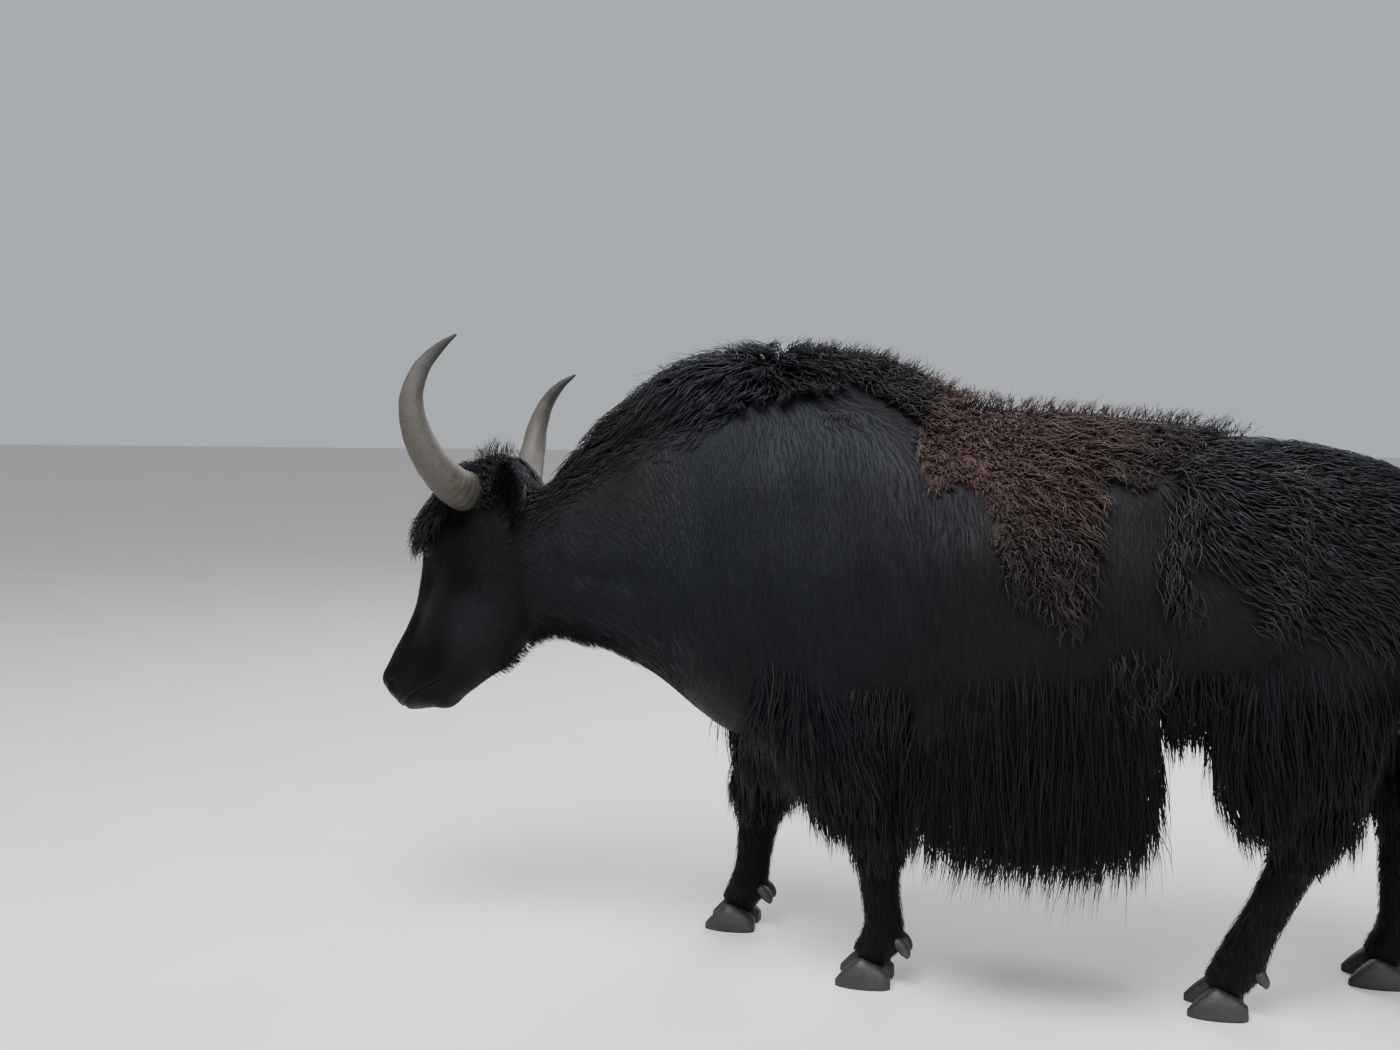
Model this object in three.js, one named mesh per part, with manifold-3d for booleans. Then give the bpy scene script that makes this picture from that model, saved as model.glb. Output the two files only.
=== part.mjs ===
// A life-size yak bull in summer moult, standing with one foreleg and one hind leg set forward.
// Millimetres, +Z up, the animal faces -X and its left side is -Y. The origin lies on the floor
// under the middle of the body. Every sub-part is its own named mesh.

import * as THREE from 'three';
import { LoftGeometry } from 'three/addons/geometries/LoftGeometry.js';
import { mergeVertices } from 'three/addons/utils/BufferGeometryUtils.js';
import Module from 'manifold-3d';

const wasm = await Module();
wasm.setup();

const clearance = 0.35; // between neighbouring sub-parts
const middle = new THREE.Vector3(32, 13, 0); // the body's middle, from where its stations are counted
const full = Math.PI * 2;
const degrees = full / 360;

// Materials

const coat = { color: 0x16171b, roughness: 0.82, metalness: 0 };
const keratin = { color: 0x8a7f70, roughness: 0.5, metalness: 0 };
const hoofHorn = { color: 0x2a2623, roughness: 0.6, metalness: 0 };
const eyeball = { color: 0x0d0a08, roughness: 0.1, metalness: 0 };

// Small tools

const vec = (x, y, z) => new THREE.Vector3(x, y, z);
const sideways = vec(0, 1, 0);
const rearward = vec(1, 0, 0);

// A repeatable stream of numbers between 0 and 1.
function seeded(seed) {
  let state = seed;
  return () => {
    state = (state * 1664525 + 1013904223) % 4294967296;
    return state / 4294967296;
  };
}

const between = (a, b, t) => a + (b - a) * t;
const bulge = (power, x) => Math.sign(x) * Math.abs(x) ** power;

// Solids

// The geometry with positions alone, where faces that meet share their points.
function closedPoints(geometry) {
  const bare = new THREE.BufferGeometry();
  bare.setAttribute('position', geometry.getAttribute('position').clone());
  bare.setIndex(geometry.index);
  return mergeVertices(bare, 1e-3);
}

function toSolid(geometry) {
  const merged = closedPoints(geometry);
  const vertProperties = merged.getAttribute('position').array;
  const triVerts = new Uint32Array(merged.index.array);
  return new wasm.Manifold(new wasm.Mesh({ numProp: 3, vertProperties, triVerts }));
}

const join = (geometries) => wasm.Manifold.union(geometries.map(toSolid));

// Fusing can leave a scrap or a sealed hollow: only the largest closed surface is kept.
function largestSurface(solid) {
  const surfaces = solid.decompose();
  return surfaces.reduce((best, one) => (one.volume() > best.volume() ? one : best));
}

function toMesh(name, solid, look) {
  const { vertProperties, triVerts } = largestSurface(solid).getMesh();
  const geometry = new THREE.BufferGeometry();
  geometry.setAttribute('position', new THREE.Float32BufferAttribute(vertProperties, 3));
  geometry.setIndex(Array.from(triVerts));
  geometry.computeVertexNormals();
  const mesh = new THREE.Mesh(geometry, new THREE.MeshStandardMaterial(look));
  mesh.name = name;
  return mesh;
}

// Forms
// A form is a skin drawn smoothly through a few rings. A ring holds its centre, its half-width
// across, its height above and depth below that centre, and how sharp its upper and lower
// curves are: 1 is an ellipse, less is fuller, 2 is a straight-sided ridge.

const ring = (x, y, z, half, above, below = above, upper = 1, lower = 1) =>
  [x, y, z, half, above, below, upper, lower];

class Form {
  // across is the direction of the half-width; facing fixes the plane of the rings, and without
  // it they stand square to the line through their centres.
  constructor(rings, { across = sideways, facing = null, placeOf = null } = {}) {
    const places = rings.map((one, index) => (placeOf ? placeOf(one) : index));
    this.across = across;
    this.facing = facing;
    this.first = places[0];
    this.last = places[places.length - 1];
    this.rings = new THREE.CubicInterpolant(places, rings.flat(), rings[0].length);
  }

  read(place) {
    return Array.from(this.rings.evaluate(place));
  }

  heading(place) {
    if (this.facing) return this.facing.clone();
    const step = (this.last - this.first) / 200;
    const [ax, ay, az] = this.read(Math.max(place - step, this.first));
    const [bx, by, bz] = this.read(Math.min(place + step, this.last));
    return vec(bx - ax, by - ay, bz - az).normalize();
  }

  point(place, angle, grow = 0) {
    const [x, y, z, half, above, below, upper, lower] = this.read(place);
    const heading = this.heading(place);
    const across = this.across.clone().addScaledVector(heading, -this.across.dot(heading)).normalize();
    const up = heading.clone().cross(across);
    const isAbove = Math.sin(angle) > 0;
    const power = isAbove ? upper : lower;
    const reach = isAbove ? above : below;
    return vec(x, y, z)
      .addScaledVector(across, (half + grow) * bulge(power, Math.cos(angle)))
      .addScaledVector(up, (reach + grow) * bulge(power, Math.sin(angle)));
  }

  // The point, the outward normal and the direction along the form at a place on its skin.
  skin(place, angle) {
    const point = this.point(place, angle);
    const turn = 0.02;
    const step = (this.last - this.first) / 400;
    const along = this.point(place + step, angle).sub(this.point(place - step, angle)).normalize();
    const round = this.point(place, angle + turn).sub(this.point(place, angle - turn)).normalize();
    const outward = round.clone().cross(along).normalize();
    return { point, outward, along, round };
  }

  geometry({ from = this.first, to = this.last, steps, sides, grow = 0 }) {
    const sections = [];
    for (let i = 0; i <= steps; i++) {
      const place = between(from, to, i / steps);
      const overrun = i === 0 ? -Math.max(grow, 0) : i === steps ? Math.max(grow, 0) : 0;
      const shift = this.heading(place).multiplyScalar(overrun);
      const section = [];
      for (let j = 0; j < sides; j++) section.push(this.point(place, (full * j) / sides, grow).add(shift));
      sections.push(section);
    }
    return new LoftGeometry(sections, { capStart: true, capEnd: true });
  }
}

function ellipsoid(centre, radii, axes, grow = 0, [meridians, levels] = [9, 6]) {
  const geometry = closedPoints(new THREE.SphereGeometry(1, meridians, levels));
  const [a, b, c] = axes.map((axis, i) => axis.clone().multiplyScalar(radii[i] + grow));
  geometry.applyMatrix4(new THREE.Matrix4().makeBasis(a, b, c).setPosition(centre));
  return geometry;
}

// Locks
// A flat lock leaves the skin from a sunk root, bends along its lie and tapers to its tip. Its
// outer side is a low ridge.

const lockStations = [
  { at: 0, width: 0.7, thick: 1 },
  { at: 0.36, width: 1, thick: 1 },
  { at: 0.72, width: 0.7, thick: 0.75 },
  { at: 1, width: 0.08, thick: 0.14 },
];

// A grown lock keeps its clearance at the thin edges too, so they move out further than its faces.
const edgeGrowth = 5;
const faceGrowth = 1.3;

function lock({ root, outward, lie, length, width, thick, lift, sink }, grow = 0) {
  const start = root.clone().addScaledVector(outward, -sink);
  const middle = root.clone().addScaledVector(outward, lift * length).addScaledVector(lie, length * 0.45);
  const tip = root.clone().addScaledVector(lie, length);
  const path = new THREE.QuadraticBezierCurve3(start, middle, tip);
  const sections = lockStations.map((station) => {
    const heading = path.getTangent(station.at);
    const across = heading.clone().cross(outward).normalize();
    const out = across.clone().cross(heading);
    const overrun = station.at === 0 ? -grow : station.at === 1 ? grow * edgeGrowth : 0;
    const centre = path.getPoint(station.at).addScaledVector(heading, overrun);
    const half = (width / 2) * station.width + grow * edgeGrowth;
    const inner = centre.clone().addScaledVector(out, -grow * faceGrowth);
    return [
      inner.clone().addScaledVector(across, half),
      inner.clone().addScaledVector(across, -half),
      centre.clone().addScaledVector(out, thick * station.thick + grow * faceGrowth),
    ];
  });
  return new LoftGeometry(sections, { capStart: true, capEnd: true });
}

// A lock on a form's skin at a place and an angle round it. It follows the lie along the skin,
// with its tip raised by the size's rise, and its length and direction vary a little.
function lockOn(form, place, angle, lie, size, chance) {
  const { point, outward } = form.skin(place, angle * degrees);
  const direction = lie.clone().addScaledVector(outward, -lie.dot(outward)).normalize();
  const aside = outward.clone().cross(direction);
  direction
    .addScaledVector(aside, size.sway * between(-1, 1, chance()))
    .addScaledVector(outward, size.rise * between(0.7, 1.2, chance()))
    .normalize();
  const length = size.length * between(0.86, 1.12, chance());
  const width = size.width * between(0.88, 1.1, chance());
  return { ...size, root: point, outward, lie: direction, length, width };
}

// Trunk
// One form runs from the rump to the back of the head. Its rings stand upright across X.

const trunkRing = (x, y, top, bottom, half, widest, upper, lower) =>
  ring(x, y, widest, half, top - widest, widest - bottom, upper, lower);

const trunk = new Form(
  [
    trunkRing(-985, 28, 1062, 830, 96, 960, 1, 1),
    trunkRing(-900, 24, 1098, 756, 108, 940, 1, 0.9),
    trunkRing(-800, 16, 1148, 738, 124, 930, 1.05, 1),
    trunkRing(-690, 8, 1234, 700, 146, 940, 1.1, 1),
    trunkRing(-580, 3, 1312, 646, 182, 930, 1.15, 1),
    trunkRing(-480, 0, 1366, 574, 226, 900, 1.25, 1),
    trunkRing(-390, 0, 1390, 524, 256, 880, 1.3, 0.95),
    trunkRing(-268, 0, 1396, 522, 276, 860, 1.3, 0.9),
    trunkRing(-82, 0, 1382, 545, 296, 850, 1.25, 0.85),
    trunkRing(60, 0, 1320, 552, 318, 850, 1.15, 0.85),
    trunkRing(213, 0, 1290, 560, 338, 850, 1.1, 0.85),
    trunkRing(430, 0, 1268, 580, 328, 865, 1.05, 0.85),
    trunkRing(620, 0, 1246, 622, 296, 890, 1, 0.9),
    trunkRing(780, 0, 1234, 640, 280, 900, 0.95, 0.95),
    trunkRing(927, 0, 1208, 640, 272, 900, 0.95, 1),
    trunkRing(1046, 0, 1172, 650, 248, 900, 1, 1),
    trunkRing(1130, 0, 1114, 680, 205, 900, 1, 1),
    trunkRing(1190, 0, 1026, 750, 140, 895, 1, 1),
    trunkRing(1222, 0, 946, 830, 62, 890, 1, 1),
  ],
  { facing: rearward, placeOf: ([x]) => x },
);

const neckEnd = -950;
const neckToShoulders = -500;
const shouldersToBarrel = 20;
const barrelToHindquarters = 600;
const rumpEnd = 1222;

// The stretch of trunk between two borders is cut from a longer one, with the locks that grow on
// it, so that locks which cross a border go on in the next stretch.
const slabWidth = 1000;
const slabHeight = 3000;
const longestLock = 260;

function slab(from, to) {
  const box = new THREE.BoxGeometry(to - from - clearance, slabWidth, slabHeight);
  box.translate((from + to) / 2, 0, 0);
  return toSolid(box);
}

// A stretch of a form a little longer than the slab that cuts it.
function overrun(form, from, to) {
  const extra = 9;
  return { from: Math.max(from - extra, form.first), to: Math.min(to + extra, form.last) };
}

function trunkStretch(from, to, steps, growths) {
  const nearby = growths.filter(({ root }) => root.x > from - longestLock && root.x < to + longestLock);
  const cores = [trunk.geometry({ ...overrun(trunk, from, to), steps, sides: 20 })];
  if (from < crest.last) {
    cores.push(crest.geometry({ ...overrun(crest, from, to), steps: 5, sides: 8, grow: -crestDepth }));
  }
  const grown = nearby.map((one) => (one.clump ? clump(one) : lock(one)));
  return join([...cores, ...grown]).intersect(slab(from, to));
}

// Crest
// The rings follow the tips of the hair on the neck and hump. Its core stays this far inside.

const crestDepth = 34;
const crestRing = (x, y, tip, half) => ring(x, y, tip - 100, half, 100, 60, 1.15, 1);

const crest = new Form(
  [
    crestRing(-915, 26, 1104, 36),
    crestRing(-833, 18, 1166, 58),
    crestRing(-756, 12, 1244, 74),
    crestRing(-680, 8, 1316, 86),
    crestRing(-581, 3, 1387, 98),
    crestRing(-483, 0, 1430, 106),
    crestRing(-363, 0, 1449, 112),
    crestRing(-174, 0, 1444, 112),
    crestRing(-82, 0, 1432, 104),
    crestRing(-13, 0, 1410, 94),
    crestRing(44, 0, 1378, 84),
    crestRing(110, 0, 1326, 64),
  ],
  { facing: rearward, placeOf: ([x]) => x },
);

// Coat of the trunk

const hanging = vec(0, 0, -1);
const ridgeAngle = 90;
const sweptBack = vec(1, 0, -0.12);
const crestLock = { length: 176, width: 102, thick: 24, lift: 0.05, sink: 60, sway: 0.16, rise: -0.04 };
const crestSideLock = { length: 172, width: 112, thick: 22, lift: 0.04, sink: 52, sway: 0.2, rise: -0.02 };
const rumpLock = { length: 170, width: 104, thick: 20, lift: 0.08, sink: 28, sway: 0.3, rise: 0.05 };
const shaggyLock = { length: 130, width: 78, thick: 24, lift: 0.16, sink: 26, sway: 0.45, rise: 0.16 };
const fringeLock = { width: 130, thick: 34, lift: 0.03, sink: 0 };
const woolClump = { along: 84, round: 74, high: 36, sink: 11 };

// A rounded clump of wool, half sunk in the skin.
function clump({ root, outward, along, round, radii }) {
  return ellipsoid(root, radii, [round, along, outward], 0, [6, 4]);
}

function clumpOn(place, angle, chance) {
  const { point, outward, along, round } = trunk.skin(place, angle * degrees);
  const grow = between(0.85, 1.12, chance());
  const radii = [woolClump.round * grow, woolClump.along * grow, woolClump.high * between(0.8, 1.15, chance())];
  const root = point.addScaledVector(outward, -woolClump.sink);
  return { clump: true, root, outward, along, round, radii };
}

// Calls make with each place from first to last, and each angle on both sides of the animal.
function rows(first, last, spacing, angles, chance, make) {
  const made = [];
  const count = Math.round((last - first) / spacing);
  for (let i = 0; i <= count; i++) {
    angles.forEach((angle, row) => {
      const stagger = row % 2 ? spacing / 2 : 0;
      const place = between(first, last, i / count) + stagger + spacing * 0.2 * between(-1, 1, chance());
      made.push(make(place, angle));
      if (angle !== ridgeAngle) made.push(make(place - spacing / 4, 2 * ridgeAngle - angle));
    });
  }
  return made;
}

// A lock that hangs from inside the body to the height of its tip, and faces to one side.
function hangingLock(root, facing, tip, size, chance) {
  const outward = vec(0, facing, 0);
  const lie = vec(between(-0.03, 0.09, chance()), facing * 0.05, -1).normalize();
  const width = size.width * between(0.88, 1.12, chance());
  return { ...size, root, outward, lie, width, length: root.z - tip };
}

const fringeTop = 580;
const fringeTips = 365;
const fringeApart = 34;

function brisketFringe(chance) {
  const locks = [];
  for (let x = -360; x < -60; x += 92) {
    for (const side of [1, -1]) {
      const root = vec(x + side * 18, side * fringeApart, fringeTop);
      locks.push(hangingLock(root, side, fringeTips + 60 * chance(), fringeLock, chance));
    }
  }
  return locks;
}

function trunkCoat() {
  const chance = seeded(11);
  const locksOn = (form, lie, size) => (x, angle) => lockOn(form, x, angle, lie, size, chance);
  const wool = (x, angle) => clumpOn(x, angle, chance);
  return [
    ...rows(-870, 60, 104, [ridgeAngle], chance, locksOn(crest, sweptBack, crestLock)),
    ...rows(-840, -20, 164, [46], chance, locksOn(crest, sweptBack, crestSideLock)),
    ...rows(110, 220, 110, [74], chance, wool),
    ...rows(322, 570, 122, [ridgeAngle, 68, 46, 24], chance, wool),
    ...rows(690, 800, 110, [46], chance, locksOn(trunk, vec(0.7, 0, -0.7), shaggyLock)),
    ...rows(670, 1090, 210, [ridgeAngle, 66], chance, locksOn(trunk, vec(1, 0, -0.25), rumpLock)),
    ...rows(930, 1090, 160, [34], chance, locksOn(trunk, vec(0.7, 0, -0.7), rumpLock)),
    ...brisketFringe(chance),
  ];
}

// Skirt
// Its core is a curtain that hangs half way down the hair. Two tiers of locks hang from it.

const skirtY = 262;
const skirtWaist = 620;
const skirtRing = (side, x, top, bottom, half) =>
  ring(x, skirtY * side, skirtWaist, half, top - skirtWaist, skirtWaist - bottom, 0.8, 0.8);

const skirtForm = (side) =>
  new Form(
    [
      skirtRing(side, 40, 700, 520, 16),
      skirtRing(side, 80, 750, 470, 30),
      skirtRing(side, 240, 775, 440, 36),
      skirtRing(side, 400, 785, 445, 36),
      skirtRing(side, 520, 790, 480, 30),
      skirtRing(side, 560, 760, 540, 16),
    ],
    { facing: rearward, placeOf: ([x]) => x },
  );

// The lowest hair tips rise towards both ends of the skirt.
const skirtTips = new THREE.CubicInterpolant(
  [40, 157, 241, 350, 445, 544, 570],
  [350, 298, 284, 292, 311, 368, 440],
  1,
);
const lowerSkirtLock = { width: 106, thick: 30, lift: 0.06, sink: 24 };
const upperSkirtLock = { width: 120, thick: 26, lift: 0.1, sink: 26 };

function skirtCoat(side) {
  const chance = seeded(side > 0 ? 31 : 37);
  const locks = [];
  const hang = (x, height, out, tip, size) => {
    const root = vec(x, side * skirtY + out, height);
    locks.push(hangingLock(root, Math.sign(out), tip, size, chance));
  };
  for (let x = 72; x < 560; x += 76) {
    const [tip] = skirtTips.evaluate(x);
    const out = locks.length % 2 ? 14 : -14;
    hang(x, 545, out, tip + 22 * between(-0.6, 1, chance()), lowerSkirtLock);
  }
  for (let x = 86; x < 540; x += 88) {
    hang(x, between(705, 730, chance()), side * 26, between(405, 450, chance()), upperSkirtLock);
  }
  return locks;
}

// Head
// Measured from the poll: down the face, out of the forehead, and to the animal's left. The
// head is turned a little to the right, hangs nose down and is rolled with its left horn high.

const poll = vec(-1002, 30, 1130);
const headTurn = 11.5 * degrees;
const faceSlope = 66 * degrees;
const headRoll = -9 * degrees;

const headTilt = new THREE.Matrix4()
  .makeRotationZ(-headTurn)
  .multiply(new THREE.Matrix4().makeRotationX(headRoll));
const downFace = vec(-Math.cos(faceSlope), 0, -Math.sin(faceSlope)).transformDirection(headTilt);
const outOfFace = vec(-Math.sin(faceSlope), 0, Math.cos(faceSlope)).transformDirection(headTilt);
const toLeft = vec(0, -1, 0).transformDirection(headTilt);
const headUp = vec(0, 0, 1).transformDirection(headTilt);
const headForward = vec(-1, 0, 0).transformDirection(headTilt);

const onHead = (along, out, left) =>
  poll
    .clone()
    .addScaledVector(downFace, along)
    .addScaledVector(outOfFace, out)
    .addScaledVector(toLeft, left);

function headRing(along, front, back, half, widest, upper, lower) {
  const { x, y, z } = onHead(along, widest, 0);
  return ring(x, y, z, half, front - widest, widest - back, upper, lower);
}

const skull = new Form(
  [
    headRing(-44, 6, -56, 54, -24, 0.9, 1),
    headRing(-20, 38, -100, 90, -24, 0.8, 0.9),
    headRing(25, 66, -136, 108, -24, 0.75, 0.85),
    headRing(95, 86, -176, 114, -24, 0.75, 0.8),
    headRing(165, 92, -214, 118, -24, 0.75, 0.85),
    headRing(225, 84, -242, 117, -26, 0.75, 0.9),
    headRing(300, 66, -258, 102, -42, 0.8, 0.85),
    headRing(380, 52, -250, 86, -56, 0.85, 0.8),
    headRing(445, 52, -214, 76, -60, 0.85, 0.8),
    headRing(512, 54, -178, 74, -54, 0.75, 0.8),
    headRing(563, 52, -142, 74, -44, 0.7, 0.8),
    headRing(596, 46, -104, 66, -36, 0.7, 0.85),
    headRing(614, 28, -72, 46, -28, 0.8, 0.9),
    headRing(623, 8, -44, 24, -20, 0.9, 1),
    headRing(626, -6, -30, 10, -18, 1, 1),
  ],
  { across: toLeft, facing: downFace },
);

// Eyes, with the lids round them

const eyeRadius = 19;
const eyeAlong = 220;
const eyeOut = 34;
const eyeLeft = 97;

// A ball or an egg in the head, by its place and radii down the face, out of it and to the side.
function headBall([along, out, left], [alongFace, outOfIt, toSide], grow = 0) {
  const radii = [alongFace, toSide, outOfIt];
  return ellipsoid(onHead(along, out, left), radii, [downFace, toLeft, outOfFace], grow);
}
function eyeSolid(side, grow = 0) {
  const radii = [eyeRadius, eyeRadius, eyeRadius];
  return toSolid(headBall([eyeAlong, eyeOut, eyeLeft * side], radii, grow));
}

function lidGeometry(side) {
  return headBall([eyeAlong, eyeOut, (eyeLeft - 3) * side], [33, 26, 23]);
}

function browGeometry(side) {
  return headBall([eyeAlong - 26, eyeOut + 20, (eyeLeft - 12) * side], [44, 22, 22]);
}

function lidSlitGeometry(side) {
  return headBall([eyeAlong + 2, eyeOut - 1, (eyeLeft + 18) * side], [19, 9, 16]);
}

// Muzzle

function nostrilGeometry(side) {
  return headBall([595, 18, 50 * side], [14, 16, 15]);
}

const mouthCorner = { along: 492, out: -140 };
const mouthFront = { along: 646, out: -31 };
const mouthHeight = 4;
const mouthWidth = 220;

function mouthGeometry() {
  const back = onHead(mouthCorner.along, mouthCorner.out, 0);
  const front = onHead(mouthFront.along, mouthFront.out, 0);
  const length = back.distanceTo(front);
  const ahead = front.clone().sub(back).normalize();
  const across = toLeft;
  const up = ahead.clone().cross(across);
  const geometry = new THREE.BoxGeometry(length, mouthWidth, mouthHeight);
  const centre = back.clone().lerp(front, 0.5);
  geometry.applyMatrix4(new THREE.Matrix4().makeBasis(ahead, across, up).setPosition(centre));
  return geometry;
}

const lipGeometries = () => [
  headBall([586, -24, 0], [38, 26, 64]),
  headBall([570, -100, 0], [38, 24, 52]),
  headBall([586, 12, 0], [34, 34, 60]),
];

// Horns: out to the side, then forward and up, with the tips curling back and in.

const hornRing = (left, forward, up, radius, side) => {
  const centre = poll
    .clone()
    .addScaledVector(toLeft, left * side)
    .addScaledVector(headForward, forward)
    .addScaledVector(headUp, up);
  return ring(centre.x, centre.y, centre.z, radius, radius);
};

const hornForm = (side) =>
  new Form(
    [
      hornRing(62, 20, -44, 46, side),
      hornRing(112, 26, -49, 49, side),
      hornRing(168, 38, -28, 45, side),
      hornRing(224, 59, 23, 39, side),
      hornRing(264, 74, 90, 33, side),
      hornRing(281, 75, 158, 27, side),
      hornRing(281, 53, 222, 20, side),
      hornRing(276, 11, 270, 12, side),
      hornRing(276, -33, 300, 4, side),
    ],
    { across: headForward },
  );

const hornSolid = (side, grow = 0) => toSolid(hornForm(side).geometry({ steps: 12, sides: 9, grow }));

// Ears: a cupped leaf behind and below each horn. The cup opens out and forward.

const earRootAlong = 92;
const earRootOut = -113;
const earRootLeft = 88;
const earLength = 172;
const earWall = 7;

// Across the ear its wall is an arc, open to the front.
function earSection(centre, wide, deep, across, back, grow) {
  const turns = 5;
  const reach = 84 * degrees;
  const arc = (halfWidth, depth, angle) =>
    centre
      .clone()
      .addScaledVector(across, halfWidth * Math.sin(angle))
      .addScaledVector(back, depth * Math.cos(angle) - (depth < deep ? rimSlope : 0));
  const rimSlope = earWall * 0.4 + grow;
  const outside = [];
  const inside = [];
  for (let i = 0; i <= turns; i++) {
    const angle = between(-reach, reach, i / turns);
    outside.push(arc(wide + grow, deep + grow, angle));
    inside.unshift(arc(wide - earWall * 0.5 - grow, deep - earWall - grow, angle));
  }
  return [...outside, ...inside];
}

function earGeometry(side, grow = 0) {
  const root = onHead(earRootAlong, earRootOut, earRootLeft * side);
  const lie = vec(0, 0, 0)
    .addScaledVector(toLeft, 0.41 * side)
    .addScaledVector(headUp, 0.85)
    .addScaledVector(headForward, -0.35)
    .normalize();
  const back = vec(0, 0, 0)
    .addScaledVector(headForward, -0.3)
    .addScaledVector(toLeft, -0.9 * side)
    .addScaledVector(headUp, 0.3);
  back.addScaledVector(lie, -back.dot(lie)).normalize();
  const across = back.clone().cross(lie).multiplyScalar(side);
  const spans = [
    { at: -0.12, wide: 24, deep: 26 },
    { at: 0.08, wide: 30, deep: 30 },
    { at: 0.3, wide: 40, deep: 30 },
    { at: 0.52, wide: 43, deep: 26 },
    { at: 0.74, wide: 40, deep: 20 },
    { at: 0.9, wide: 28, deep: 14 },
    { at: 1, wide: 10, deep: 9 },
  ];
  const sections = spans.map(({ at, wide, deep }) => {
    const overrun = at < 0 ? -grow : at === 1 ? grow : 0;
    const centre = root.clone().addScaledVector(lie, earLength * at + overrun);
    const section = earSection(centre, wide, deep, across, back, grow);
    return side > 0 ? section.reverse() : section;
  });
  return new LoftGeometry(sections, { capStart: true, capEnd: true });
}

// Legs
// The left foreleg and the right hind leg stand back, their partners stand forward. A leg's
// rings go down from inside the body: above is towards the rear, below is towards the front.

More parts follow.
